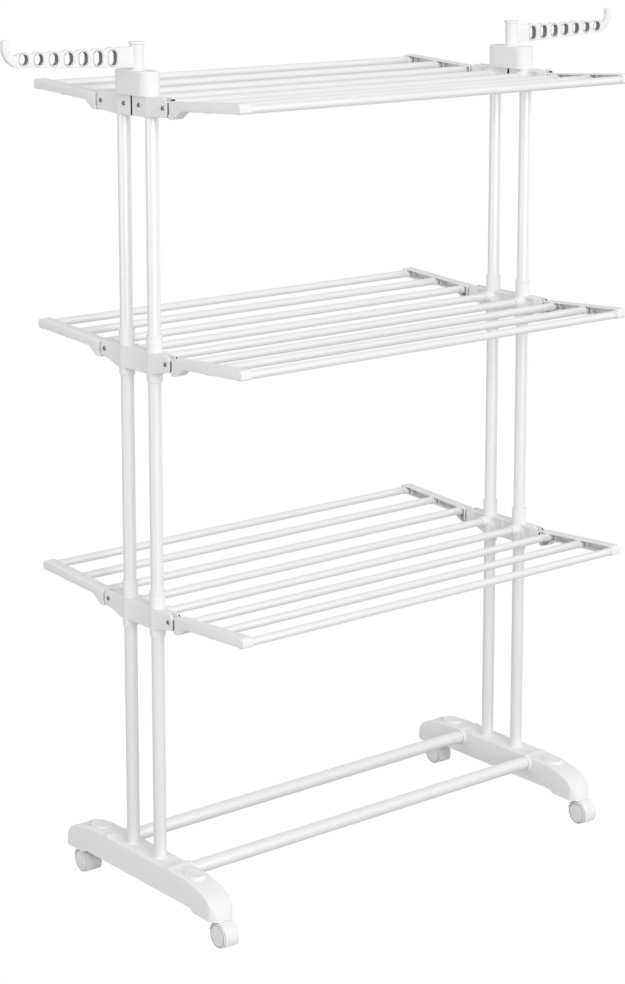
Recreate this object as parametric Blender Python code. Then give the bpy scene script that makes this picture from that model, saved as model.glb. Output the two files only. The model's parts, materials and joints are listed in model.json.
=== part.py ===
"""Rolling clothes drying rack: three tiers of rods with folding wings, on two wheeled feet.

Metres, +Z up. X runs along the rods, the front is at -Y, and the floor is Z = 0.
Every side piece is drawn once for the right end, where x = 0 is the middle of the posts
and +x points outward, and is mirrored for the left end.
"""
import bpy
import bmesh
from math import cos, hypot, pi, sin, tan
from mathutils import Matrix, Vector

# ---- Overall sizes ----
POST_SPACING = 0.956          # between the two ends' posts, along X
POST_PAIR = 0.090             # between the two posts of an end, along Y
TIER_HEIGHTS = {"lower": 0.6028, "middle": 1.1006, "top": 1.5770}
HANGER_TOP = 1.691            # top of the pivot cap
CLEARANCE = 0.0003            # between pieces that touch or fit
FACETS = 16                   # sides of the round pieces
ROD_FACETS = 12               # sides of the rods, and of the sockets that take them
SMALL_FACETS = 8              # sides of pins
MERGE = 0.000004              # corners closer than this are one
BITE = 0.0020                 # how far shapes that are joined reach into each other
THROUGH = 0.10                # reach of a cut that runs right through

# ---- Tubes and rods ----
POST_DIA = 0.025
BASE_TUBE_DIA = 0.027
BASE_TUBE_SPREAD = 0.2072     # between the two base tubes, along Y
BASE_TUBE_Z = 0.0966
ROD_DIA = 0.016
ROD_PITCH = 0.092

# ---- Feet ----
FOOT_LENGTH = 0.508
FOOT_WIDTH = 0.053
FOOT_BOTTOM_Z = 0.0580
FOOT_END_Z = 0.0508           # underside above the casters
FOOT_RISE = 0.0552            # height of the body above its underside
FOOT_STEP = (0.064, 0.080)    # where the underside steps down to its ends, in from each end
FOOT_WALL = 0.0032
FOOT_EDGE_RADIUS = 0.0065
FOOT_ARCH_START = 0.120       # where the top starts to curve down
FOOT_ARCH_POWER = 2.4
ARCH_STEPS = 7
STEM_SEAT = 0.026             # solid foot on each side of a caster stem
ROOF_WALL = 0.0052            # top wall over the hollows
POST_RIM_RISE = 0.0012
POST_SOCKET_Z = 0.0760
TUBE_SOCKET_DEPTH = 0.030
SOCKET_RIM = 0.0030           # wall of the rims round the posts
TUBE_RIM = 0.0040             # wall of the sockets round the base tubes
SOCKET_RIM_OUT = 0.0045
END_BOSS_Y = 0.158            # raised oval pads near the ends
END_BOSS_SIZE = (0.034, 0.046, 0.0030)

# ---- Casters ----
WHEEL_DIA = 0.047
WHEEL_PAIR_WIDTH = 0.033
WHEEL_GAP = 0.0110
WHEEL_FACETS = 20
AXLE_DIA = 0.006
HOOD_PLATE = 0.0098
HOOD_SHELL = 0.0016
HOOD_GAP = 0.0018
HOOD_INSET = 0.0015           # hood narrower than the wheels, each side
HOOD_ARC = (15, 200)          # degrees round the wheels, from the front
PLATE_ARC = (-20, 215)
PLATE_TOE = (0.002, 0.008)    # the plate's lowest corner, from the axle
STEM_ROOT = 0.006             # where the stem starts, above the axle
STEM_DIA = 0.009
STEM_TOP_Z = 0.082
STEM_Y = 0.229
CASTER_TRAIL = 0.021

# ---- Tier brackets ----
BLOCK_OUT = 0.0145            # outer face, from the middle of the posts
BLOCK_IN = 0.0085             # inner face, on the other side of the posts
BLOCK_END = 0.1132            # half length along Y
BLOCK_TOP = 0.0135            # above the rods' axis
BLOCK_BELLY = 0.0287          # below the rods' axis at the middle
BLOCK_END_DROP = 0.0158       # below the rods' axis at the ends
BLOCK_CORNER = 0.0110
COLLAR_DIA = 0.0310
COLLAR_HALF = 0.0452
ROD_SOCKET_WALL = 0.0026
ROD_SOCKET_REACH = 0.0270     # how far the centre rods' sockets stand in from the posts' middle
HINGE_Y = 0.0995
HINGE_DROP = 0.0013           # hinge axis below the rods' axis
HINGE_PIN_DIA = 0.0060
TONGUE_THICK = 0.0090
TONGUE_REACH = 0.0095         # half height of the tongue, and its nose radius
CHEEK = 0.0058                # block left outside the tongue's slot
SLOT_BACK = 0.0015            # room behind the tongue
SOCKET_END = 0.0022           # bracket left between a centre rod and the post
GUSSET_POWER = 1.6            # how the belly sweeps up to the block's ends
COLLAR_DROP = 0.0007          # top collars below their blocks

# ---- Top brackets ----
TOP_BLOCK_TOP = 0.0155        # underside of the cover, above the rods' axis
COVER_LAP = 0.0010            # how far the blocks rise into the cover
TOP_END_RISE = 0.0040         # how much shallower the blocks are at their ends
POST_CAP = 0.0030             # cover base below its top face that the posts stop at
TOP_BLOCK_BELLY = 0.0225
TOP_GAP = 0.0050              # slot between the front and back blocks
COVER_WIDTH = 0.044
COVER_LENGTH = 0.108
COVER_HEIGHT = 0.0460
COVER_CORNER = 0.0190
COVER_EDGE = 0.0022

# ---- Wing arms ----
WING_TILT = 2.9 * pi / 180
WING_RISE = 0.0005            # first rod's line above the tier's rods, at the hinge
ARM_LENGTH = 0.2330           # from the hinge axis to the outer end
ARM_ABOVE = 0.0120            # side plate above the rods' axis
ARM_BELOW = 0.0070            # side plate below the rods' axis
ARM_WALL = 0.0024
ARM_END_RADIUS = 0.0088
LOBE_DEPTH = 0.0205
LOBE_LENGTH = 0.0600
STOP_TOP = 0.0112             # height below the hinge where the stop face starts
LOBE_START = 0.0100           # where the lobe is deepest, out from the block's end
LOBE_STEPS = 4
ARM_HEEL = 0.6                # radius under the outer end, as a share of the one on top
SOCKET_WALL = 0.0018          # round the wing rods, inside the tray
SOCKET_PROUD = 0.0018         # how far the sockets stand in past the tray's rim
ARM_SOCKET_END = 0.0020       # socket left past a wing rod's end
WING_RODS = 3

# ---- Hanger arms ----
SLEEVE_DIA = 0.0258
SLEEVE_WALL = 0.0048
CAP_DIA = 0.0312
CAP_THICK = 0.0048
BASE_DISC_THICK = 0.0022
HANGER_THICK = 0.0100
HANGER_HOLES = 7
FIRST_HOLE = 0.0572
HOLE_PITCH = 0.0320
HOLE_WIDTH = 0.0170
HOLE_HEIGHTS = (0.0275, 0.0190)   # first and last
HOLE_LINE = (0.0249, 0.0310)      # height of the first and last hole above the cover
ARM_BOTTOM = (0.0050, 0.0160)     # lower edge above the cover at the first and last hole
SCALLOP_TOP = (0.0445, 0.0432)    # peaks above the cover at the first and last hole
SCALLOP_DEPTH = 0.0030
HOOK_REACH = 0.2920
HOOK_HEIGHT = 0.0675              # above the cover
HOOK_TIP_WIDTH = 0.0095
HOOK_TIP_RADIUS = 0.0040
HOOK_BEND = (0.040, 0.0370)       # radii of the outer bend, out and up
HOOK_INSIDE = ((0.0125, 0.0160), (0.0150, 0.0230), (0.0205, 0.0285), (0.0263, 0.0283))
SCALLOP_START = 0.0105            # scalloped edge past the first and last hole
SCALLOP_POWER = 2.5

# ---- Worked out from the sizes above ----
TOP_Z = TIER_HEIGHTS["top"]
COVER_BASE_Z = TOP_Z + TOP_BLOCK_TOP
COVER_TOP_Z = COVER_BASE_Z + COVER_HEIGHT
POST_X = POST_SPACING / 2
POST_Y = POST_PAIR / 2
FOOT_TOP_Z = FOOT_BOTTOM_Z + FOOT_RISE
CENTRE_ROD_Y = ROD_PITCH / 2
END_FACE = BLOCK_END - HINGE_Y

WHITE_PLASTIC = ("white_plastic", (0.86, 0.86, 0.86), 0.42, 0.0)
WHITE_TUBE = ("white_tube", (0.90, 0.90, 0.90), 0.30, 0.0)
WHEEL_PLASTIC = ("wheel_plastic", (0.84, 0.84, 0.84), 0.45, 0.0)


# ---- Helpers ----
def clear_scene():
    for old in list(bpy.data.objects):
        bpy.data.objects.remove(old, do_unlink=True)


def material(name, colour, roughness, metallic):
    made = bpy.data.materials.new(name)
    made.use_nodes = True
    shader = made.node_tree.nodes["Principled BSDF"]
    shader.inputs["Base Color"].default_value = (*colour, 1.0)
    shader.inputs["Roughness"].default_value = roughness
    shader.inputs["Metallic"].default_value = metallic
    return made


def mesh_from(bm):
    bmesh.ops.recalc_face_normals(bm, faces=bm.faces)
    mesh = bpy.data.meshes.new("shape")
    bm.to_mesh(mesh)
    bm.free()
    return mesh


def prism(outline, low, high, along="X"):
    """A closed outline, extruded between two places along an axis."""
    point = {
        "X": lambda a, b, t: (t, a, b),
        "Y": lambda a, b, t: (a, t, b),
        "Z": lambda a, b, t: (a, b, t),
    }[along]
    bm = bmesh.new()
    base = [bm.verts.new(point(a, b, low)) for a, b in outline]
    top = [bm.verts.new(point(a, b, high)) for a, b in outline]
    bm.faces.new(base)
    bm.faces.new(top)
    count = len(outline)
    for i in range(count):
        bm.faces.new((base[i], base[(i + 1) % count], top[(i + 1) % count], top[i]))
    return mesh_from(bm)


def box(low, high):
    outline = [(low[1], low[2]), (high[1], low[2]), (high[1], high[2]), (low[1], high[2])]
    return prism(outline, low[0], high[0])


def turned(profile, axis="Z", centre=(0, 0, 0), facets=FACETS, turn=0.0):
    """A closed (radius, height) profile turned round an axis through centre."""
    bm = bmesh.new()
    rings = []
    for radius, height in profile:
        if radius == 0:
            rings.append([bm.verts.new((0, 0, height))])
            continue
        angles = [2 * pi * (k + turn) / facets for k in range(facets)]
        rings.append([bm.verts.new((radius * cos(a), radius * sin(a), height)) for a in angles])
    for lower, upper in zip(rings, rings[1:] + rings[:1]):
        if len(lower) == 1 and len(upper) == 1:
            continue
        for k in range(facets):
            n = (k + 1) % facets
            corners = [lower[k % len(lower)], lower[n % len(lower)]]
            corners += [upper[n % len(upper)], upper[k % len(upper)]]
            bm.faces.new(list(dict.fromkeys(corners)))
    turns = {"Z": Matrix(), "X": Matrix.Rotation(pi / 2, 4, "Y")}
    bmesh.ops.transform(bm, matrix=Matrix.Translation(centre) @ turns[axis], verts=bm.verts)
    return mesh_from(bm)


def cylinder(radius, low, high, axis="Z", centre=(0, 0, 0), facets=FACETS):
    """A solid round bar between two places along its axis."""
    return turned([(0, low), (radius, low), (radius, high), (0, high)], axis, centre, facets)


def combined(base, others, operation):
    """The base mesh with each of the others joined to it or cut from it."""
    holder = bpy.data.objects.new("work", base)
    bpy.context.scene.collection.objects.link(holder)
    tools = []
    for other in others:
        tool = bpy.data.objects.new("tool", other)
        bpy.context.scene.collection.objects.link(tool)
        tools.append(tool)
        step = holder.modifiers.new("boolean", "BOOLEAN")
        step.operation = operation
        step.solver = "MANIFOLD"
        step.object = tool
    evaluated = holder.evaluated_get(bpy.context.evaluated_depsgraph_get())
    shaped = bpy.data.meshes.new_from_object(evaluated)
    for used in [holder] + tools:
        bpy.data.objects.remove(used, do_unlink=True)
    bm = bmesh.new()
    bm.from_mesh(shaped)
    bmesh.ops.remove_doubles(bm, verts=bm.verts, dist=MERGE)
    bmesh.ops.dissolve_degenerate(bm, edges=bm.edges, dist=MERGE)
    bm.to_mesh(shaped)
    bm.free()
    return shaped


def joined(base, *others):
    return combined(base, others, "UNION")


def cut(base, *others):
    return combined(base, others, "DIFFERENCE")


def moved(mesh, matrix):
    """A copy of a mesh under a transform, with its faces still pointing out."""
    copy = mesh.copy()
    copy.transform(matrix)
    if matrix.determinant() < 0:
        copy.flip_normals()
    return copy


def mirrored_x(mesh):
    return moved(mesh, Matrix.Scale(-1, 4, (1, 0, 0)))


def arc(centre, radius, start, stop, steps):
    """Points round a circle, both ends included; angles in degrees."""
    angles = [(start + (stop - start) * k / steps) * pi / 180 for k in range(steps + 1)]
    return [(centre[0] + radius * cos(a), centre[1] + radius * sin(a)) for a in angles]


def blend(first, last, t):
    return first + (last - first) * t


def rounded_rectangle(half_a, half_b, radius, steps=5):
    corners = [(1, 1, 0), (-1, 1, 90), (-1, -1, 180), (1, -1, 270)]
    points = []
    for sa, sb, start in corners:
        centre = (sa * (half_a - radius), sb * (half_b - radius))
        points += arc(centre, radius, start, start + 90, steps)
    return points


def softened(mesh, width, segments, picks):
    """Bevels the edges whose two ends both satisfy picks."""
    bm = bmesh.new()
    bm.from_mesh(mesh)
    chosen = [e for e in bm.edges if all(picks(v.co) for v in e.verts)]
    bmesh.ops.bevel(bm, geom=chosen, offset=width, segments=segments, profile=0.5, affect="EDGES")
    return mesh_from(bm)


def place(name, mesh, finish, location=(0, 0, 0), parent=None, sharp=35):
    made = bpy.data.objects.new(name, mesh)
    bpy.context.scene.collection.objects.link(made)
    mesh.materials.clear()
    mesh.materials.append(MATERIALS[finish])
    mesh.shade_smooth()
    mesh.set_sharp_from_angle(angle=sharp * pi / 180)
    made.location = location
    if parent:
        made.parent = parent
    return made


def pivot(name, location, parent=None):
    """An empty on a joint's axis."""
    made = bpy.data.objects.new(name, None)
    bpy.context.scene.collection.objects.link(made)
    made.location = location
    made.parent = parent
    return made


# ---- Feet ----
def foot_top(y):
    """Height of the foot's top surface at a place along its length."""
    half = FOOT_LENGTH / 2
    share = max(0.0, (abs(y) - FOOT_ARCH_START) / (half - FOOT_ARCH_START))
    drop = (1 - min(share, 1.0) ** FOOT_ARCH_POWER) ** (1 / FOOT_ARCH_POWER)
    return FOOT_END_Z + (FOOT_TOP_Z - FOOT_END_Z) * drop


def foot_outline():
    half = FOOT_LENGTH / 2
    step_in = half - FOOT_STEP[0]
    step_out = half - FOOT_STEP[1]
    span = half - FOOT_ARCH_START
    arch = [FOOT_ARCH_START + span * sin(pi / 2 * k / ARCH_STEPS) for k in range(ARCH_STEPS)]
    right = [(half, FOOT_END_Z)] + [(y, foot_top(y)) for y in reversed(arch)]
    left = [(-y, z) for y, z in reversed(right)]
    under = [(-step_in, FOOT_END_Z), (-step_out, FOOT_BOTTOM_Z)]
    under += [(-y, z) for y, z in reversed(under)]
    return right + left + under


def foot_mesh():
    half_width = FOOT_WIDTH / 2
    tube_y = BASE_TUBE_SPREAD / 2
    tube_r = BASE_TUBE_DIA / 2
    post_r = POST_DIA / 2
    body = prism(foot_outline(), -half_width, half_width)
    body = softened(
        body, FOOT_EDGE_RADIUS, 1,
        lambda v: abs(abs(v.x) - half_width) < CLEARANCE and v.z > FOOT_BOTTOM_Z + CLEARANCE,
    )
    pads = []
    for side in (-1, 1):
        low = foot_top(END_BOSS_Y) - 3 * BITE
        half_pad = END_BOSS_SIZE[0] / 2
        pad = rounded_rectangle(half_pad, END_BOSS_SIZE[1] / 2, half_pad - CLEARANCE, 3)
        mesh = prism(pad, low, foot_top(END_BOSS_Y) + END_BOSS_SIZE[2], "Z")
        pads.append(moved(mesh, Matrix.Translation((0, side * END_BOSS_Y, 0))))
        rim_low = -half_width - SOCKET_RIM_OUT
        rim_high = half_width - CLEARANCE
        pads.append(cylinder(tube_r + TUBE_RIM, rim_low, rim_high, "X", (0, side * tube_y, BASE_TUBE_Z)))
        rim_top = FOOT_TOP_Z + POST_RIM_RISE
        pads.append(cylinder(post_r + SOCKET_RIM, FOOT_TOP_Z - BITE, rim_top, "Z", (0, side * POST_Y, 0)))
    body = joined(body, *pads)

    inside = half_width - FOOT_WALL
    hollows = []
    post_edge = post_r + CLEARANCE + FOOT_WALL
    tube_edge = tube_r + CLEARANCE + FOOT_WALL
    spans = [(-POST_Y + post_edge, POST_Y - post_edge)]
    for side in (-1, 1):
        for near, far in ((POST_Y + post_edge, tube_y - tube_edge), (tube_y + tube_edge, STEM_Y - STEM_SEAT)):
            spans.append(tuple(sorted((side * near, side * far))))
    for low, high in spans:
        roof = min(foot_top(low), foot_top(high)) - ROOF_WALL
        hollows.append(box((-inside, low, 0), (inside, high, roof)))
    for side in (-1, 1):
        post_low = POST_SOCKET_Z - CLEARANCE
        tube_high = -half_width + TUBE_SOCKET_DEPTH + CLEARANCE
        stem_r = STEM_DIA / 2 + CLEARANCE
        stem_high = STEM_TOP_Z + CLEARANCE
        stem = (0, side * STEM_Y, 0)
        tube = (0, side * tube_y, BASE_TUBE_Z)
        post = (0, side * POST_Y, 0)
        hollows.append(cylinder(post_r + CLEARANCE, post_low, FOOT_TOP_Z + THROUGH, "Z", post))
        hollows.append(cylinder(tube_r + CLEARANCE, -THROUGH, tube_high, "X", tube))
        hollows.append(cylinder(stem_r, 0, stem_high, "Z", stem, facets=FACETS))
    return cut(body, *hollows)


# ---- Casters ----
def wheel_mesh():
    """Two discs and their axle, turned round X, with a flat facet underneath."""
    flat = WHEEL_DIA / 2 / cos(pi / WHEEL_FACETS)
    half = WHEEL_PAIR_WIDTH / 2
    inner = WHEEL_GAP / 2
    axle = AXLE_DIA / 2
    right = [(axle, inner), (flat, inner), (flat, half), (0, half)]
    profile = [(r, -h) for r, h in reversed(right)] + right
    return turned(profile, "X", facets=WHEEL_FACETS, turn=0.5)


def housing_mesh():
    """The swivel housing: stem, middle plate and the hood over the wheels. The stem's axis is x = y = 0."""
    axle_y = -CASTER_TRAIL
    axle_z = WHEEL_DIA / 2
    inner = axle_z + HOOD_GAP
    outer = inner + HOOD_SHELL
    half = WHEEL_PAIR_WIDTH / 2 - HOOD_INSET
    steps = WHEEL_FACETS // 2 - 1
    first, last = HOOD_ARC
    hood = arc((axle_y, axle_z), outer, first, last, steps) + arc((axle_y, axle_z), inner, last, first, steps)
    shell = prism(hood, -half, half)
    toe = (axle_y - PLATE_TOE[0], axle_z - PLATE_TOE[1])
    rim = arc((axle_y, axle_z), inner + CLEARANCE, *PLATE_ARC, steps)
    plate = prism(rim + [toe], -HOOD_PLATE / 2, HOOD_PLATE / 2)
    stem = cylinder(STEM_DIA / 2, axle_z + STEM_ROOT, STEM_TOP_Z, "Z", facets=FACETS)
    body = joined(plate, shell, stem)
    bore_r = AXLE_DIA / 2 + CLEARANCE
    bore = cylinder(bore_r, -THROUGH, THROUGH, "X", (0, axle_y, axle_z), facets=SMALL_FACETS)
    return cut(body, bore)


# ---- Tier brackets ----
def block_outline(top, belly, end_drop, corner):
    """One half of the block's side view, from its middle out to its end and back underneath."""
    end = [(BLOCK_END - corner, top - corner)]
    over = arc(end[0], corner, 90, 0, 3)
    gusset_start = POST_Y + COLLAR_DIA / 2
    gusset = []
    for k in range(4):
        t = k / 3
        gusset.append((blend(BLOCK_END, gusset_start, t), -blend(end_drop, belly, t ** GUSSET_POWER)))
    return over + gusset


def rod_socket(y, reach):
    return cylinder(ROD_DIA / 2 + ROD_SOCKET_WALL, -reach, 0, "X", (0, y, 0), facets=ROD_FACETS)


def rod_bore(y):
    stop = -POST_DIA / 2 - CLEARANCE - SOCKET_END
    return cylinder(ROD_DIA / 2 + CLEARANCE, -THROUGH, stop, "X", (0, y, 0), facets=ROD_FACETS)


def tongue_middle():
    """Middle of the hinge tongue across the block's thickness."""
    return (BLOCK_OUT - CHEEK - CLEARANCE) - TONGUE_THICK / 2


def clevis_tools(side):
    """The slot that the wing's tongue turns in, and the pin across it."""
    middle = tongue_middle()
    half = TONGUE_THICK / 2 + CLEARANCE
    inner = HINGE_Y - TONGUE_REACH - SLOT_BACK
    y_low, y_high = sorted((side * inner, side * (BLOCK_END + THROUGH)))
    slot = box((middle - half, y_low, -THROUGH), (middle + half, y_high, THROUGH))
    axis = (0, side * HINGE_Y, -HINGE_DROP)
    pin_half = half + BITE
    pin = cylinder(HINGE_PIN_DIA / 2, middle - pin_half, middle + pin_half, "X", axis, facets=SMALL_FACETS)
    return slot, pin


def tier_bracket_mesh():
    right = block_outline(BLOCK_TOP, BLOCK_BELLY, BLOCK_END_DROP, BLOCK_CORNER)
    left = [(-y, z) for y, z in reversed(right)]
    body = prism(right + left, -BLOCK_IN, BLOCK_OUT)
    parts = []
    for side in (-1, 1):
        parts.append(cylinder(COLLAR_DIA / 2, -COLLAR_HALF, COLLAR_HALF, "Z", (0, side * POST_Y, 0)))
        parts.append(rod_socket(side * CENTRE_ROD_Y, ROD_SOCKET_REACH))
    body = joined(body, *parts)
    bores = []
    pins = []
    for side in (-1, 1):
        bores.append(cylinder(POST_DIA / 2 + CLEARANCE, -THROUGH, THROUGH, "Z", (0, side * POST_Y, 0)))
        bores.append(rod_bore(side * CENTRE_ROD_Y))
        slot, pin = clevis_tools(side)
        bores.append(slot)
        pins.append(pin)
    return joined(cut(body, *bores), *pins)


def top_bracket_mesh():
    """Two blocks with a slot between them, the cover above, and the fixed pin of the hanger arm."""
    block_top = TOP_BLOCK_TOP + COVER_LAP
    right = block_outline(block_top, TOP_BLOCK_BELLY, TOP_BLOCK_BELLY - TOP_END_RISE, BLOCK_CORNER)
    right = [(TOP_GAP / 2, block_top)] + right + [(TOP_GAP / 2, -TOP_BLOCK_BELLY)]
    front = prism(right, -BLOCK_IN, BLOCK_OUT)
    back = moved(front, Matrix.Scale(-1, 4, (0, 1, 0)))
    cover_low = TOP_BLOCK_TOP
    cover_high = COVER_TOP_Z - TOP_Z
    plan = rounded_rectangle(COVER_WIDTH / 2, COVER_LENGTH / 2, COVER_CORNER, 4)
    cover = prism(plan, cover_low, cover_high, "Z")
    cover = softened(cover, COVER_EDGE, 1, lambda v: abs(v.z - cover_high) < CLEARANCE)
    parts = [front, back]
    for side in (-1, 1):
        collar_low = -TOP_BLOCK_BELLY - COLLAR_DROP
        parts.append(cylinder(COLLAR_DIA / 2, collar_low, cover_low + BITE, "Z", (0, side * POST_Y, 0)))
        parts.append(rod_socket(side * CENTRE_ROD_Y, ROD_SOCKET_REACH))
    disc_top = cover_high + BASE_DISC_THICK
    parts.append(cylinder(CAP_DIA / 2, cover_high - BITE, disc_top, "Z"))
    pin_r = SLEEVE_DIA / 2 - SLEEVE_WALL - CLEARANCE
    pin_top = HANGER_TOP - TOP_Z - CAP_THICK - 2 * CLEARANCE
    parts.append(cylinder(pin_r, cover_high - BITE / 2, pin_top, "Z"))
    body = joined(cover, *parts)
    bores = []
    pins = []
    for side in (-1, 1):
        post = (0, side * POST_Y, 0)
        bores.append(cylinder(POST_DIA / 2 + CLEARANCE, -THROUGH, cover_low - POST_CAP, "Z", post))
        bores.append(rod_bore(side * CENTRE_ROD_Y))
        slot, pin = clevis_tools(side)
        bores.append(slot)
        pins.append(pin)
    return joined(cut(body, *bores), *pins)


# ---- Wing arms ----
def end_reach():
    """Furthest that a block's rounded end comes from the hinge axis while the wing turns past it."""
    reach = 0.0
    for top in (BLOCK_TOP, TOP_BLOCK_TOP + COVER_LAP):
        centre = (END_FACE - BLOCK_CORNER, top + HINGE_DROP - BLOCK_CORNER)
        reach = max(reach, hypot(*centre) + BLOCK_CORNER, top + HINGE_DROP)
    return reach


def rod_out(index):
    """Distance of a wing rod from the hinge axis, along the arm."""
    return (CENTRE_ROD_Y + ROD_PITCH * (index + 1) - HINGE_Y) / cos(WING_TILT)


def rod_stop():
    """Where a wing rod ends in its arm, out from the middle of the posts."""
    return BLOCK_OUT - ARM_WALL - ARM_SOCKET_END - 2 * CLEARANCE


def arm_outline(shrink=0.0):
    """The arm's side view about the hinge axis: +a outward, +b up, before the wing's tilt."""
    line = HINGE_DROP + WING_RISE
    top = line + ARM_ABOVE - shrink
    bottom = line - ARM_BELOW + shrink
    start = end_reach() + 2 * CLEARANCE + shrink
    radius = ARM_END_RADIUS - shrink
    far = ARM_LENGTH - shrink
    outline = [(start, top)]
    outline += arc((far - radius, top - radius), radius, 90, 0, 3)
    heel = radius * ARM_HEEL
    outline += arc((far - heel, bottom + heel), heel, 0, -90, 2)
    lobe = LOBE_DEPTH - shrink
    for k in range(LOBE_STEPS + 1):
        t = k / LOBE_STEPS
        a = blend(LOBE_LENGTH, END_FACE + LOBE_START + shrink, t)
        outline.append((a, blend(bottom, -lobe, (1 - cos(pi * t)) / 2)))
    stop = END_FACE + 2 * CLEARANCE + shrink
    stop = stop / cos(WING_TILT) + LOBE_DEPTH * tan(WING_TILT)
    outline += [(stop, -lobe), (stop, -STOP_TOP - shrink), (start, -STOP_TOP - shrink)]
    return outline


def arm_mesh():
    """A tray open towards the rods: side plate outside, rim all round, rod sockets and ribs inside."""
    tray = prism(arm_outline(), -BLOCK_IN, BLOCK_OUT)
    hollow = prism(arm_outline(ARM_WALL), -THROUGH, BLOCK_OUT - ARM_WALL)
    body = cut(tray, hollow)
    line = HINGE_DROP + WING_RISE
    socket_r = ROD_DIA / 2 + SOCKET_WALL
    socket_low = -BLOCK_IN - SOCKET_PROUD
    socket_high = BLOCK_OUT - ARM_WALL / 2
    parts = []
    for index in range(WING_RODS):
        centre = (0, rod_out(index), line)
        parts.append(cylinder(socket_r, socket_low, socket_high, "X", centre, facets=ROD_FACETS))
    middle = tongue_middle()
    half = TONGUE_THICK / 2
    reach = end_reach() + BITE
    nose = [(reach, -TONGUE_REACH), (reach, TONGUE_REACH)] + arc((0, 0), TONGUE_REACH, 90, 270, 6)
    parts.append(prism(nose, middle - half, middle + half))
    body = joined(body, *parts)
    bores = [cylinder(HINGE_PIN_DIA / 2 + CLEARANCE, -THROUGH, THROUGH, "X", facets=SMALL_FACETS)]
    bore_end = rod_stop() + CLEARANCE
    for index in range(WING_RODS):
        centre = (0, rod_out(index), line)
        bores.append(cylinder(ROD_DIA / 2 + CLEARANCE, -THROUGH, bore_end, "X", centre, facets=ROD_FACETS))
    body = cut(body, *bores)
    return moved(body, Matrix.Rotation(WING_TILT, 4, "X"))


# ---- Hanger arms ----
def along_holes(r):
    return (r - FIRST_HOLE) / (HOLE_PITCH * (HANGER_HOLES - 1))


def scalloped_top(r):
    t = along_holes(r)
    phase = (r - FIRST_HOLE) / HOLE_PITCH
    return blend(*SCALLOP_TOP, t) - SCALLOP_DEPTH * abs(sin(pi * phase)) ** SCALLOP_POWER


def hanger_outline():
    """Side view of the arm; r from the pivot axis, height above the cover."""
    last = FIRST_HOLE + HOLE_PITCH * (HANGER_HOLES - 1)
    root = SLEEVE_DIA / 2 - BITE
    lower = [(root, ARM_BOTTOM[0]), (last, ARM_BOTTOM[1])]
    centre = (HOOK_REACH - HOOK_BEND[0], ARM_BOTTOM[1] + HOOK_BEND[1])
    bend = arc((0, 0), 1, -80, 0, 5)
    outer = [(centre[0] + HOOK_BEND[0] * a, centre[1] + HOOK_BEND[1] * b) for a, b in bend]
    back = HOOK_REACH - HOOK_TIP_WIDTH - HOOK_TIP_RADIUS
    tip = arc((HOOK_REACH - HOOK_TIP_RADIUS, HOOK_HEIGHT - HOOK_TIP_RADIUS), HOOK_TIP_RADIUS, 0, 90, 2)
    tip += arc((back + HOOK_TIP_RADIUS, HOOK_HEIGHT - HOOK_TIP_RADIUS), HOOK_TIP_RADIUS, 90, 180, 2)
    inner = [(HOOK_REACH - a, HOOK_HEIGHT - b) for a, b in HOOK_INSIDE]
    first_top = FIRST_HOLE - SCALLOP_START
    last_top = last + SCALLOP_START
    count = (HANGER_HOLES - 1) * 4 + 2
    reaches = [blend(last_top, first_top, k / count) for k in range(count + 1)]
    upper = [(r, scalloped_top(r)) for r in reaches]
    return lower + outer + tip + inner + upper + [(root, SCALLOP_TOP[0] - CLEARANCE)]


def oval(r, z, width, height, steps=4):
    radius = width / 2
    half = height / 2 - radius
    return arc((r, z + half), radius, 0, 180, steps) + arc((r, z - half), radius, 180, 360, steps)


def hanger_mesh():
    """Pivot sleeve with its cap, and the arm with its oval holes and hook. The cover's top is z = 0."""
    low = BASE_DISC_THICK + CLEARANCE
    high = HANGER_TOP - COVER_TOP_Z
    half = HANGER_THICK / 2
    sleeve_r = SLEEVE_DIA / 2
    profile = [(0, low), (sleeve_r, low), (sleeve_r, high - CAP_THICK), (CAP_DIA / 2, high - CAP_THICK)]
    profile += [(CAP_DIA / 2, high), (0, high)]
    sleeve = turned(profile, "Z")
    plate = prism(hanger_outline(), -half, half, "Y")
    holes = []
    for k in range(HANGER_HOLES):
        t = k / (HANGER_HOLES - 1)
        r = FIRST_HOLE + HOLE_PITCH * k
        z = blend(*HOLE_LINE, t)
        height = blend(*HOLE_HEIGHTS, t)
        holes.append(prism(oval(r, z, HOLE_WIDTH, height), -THROUGH, THROUGH, "Y"))
    body = joined(sleeve, plate)
    bore = cylinder(sleeve_r - SLEEVE_WALL, -THROUGH, high - CAP_THICK - CLEARANCE, "Z")
    return cut(body, bore, *holes)


# ---- Building ----
def bar(name, radius, length, finish, location, parent=None, facets=ROD_FACETS):
    """A rod or tube along X, centred on its location."""
    mesh = cylinder(radius, -length / 2, length / 2, "X", facets=facets)
    return place(name, mesh, finish, location, parent)


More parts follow.
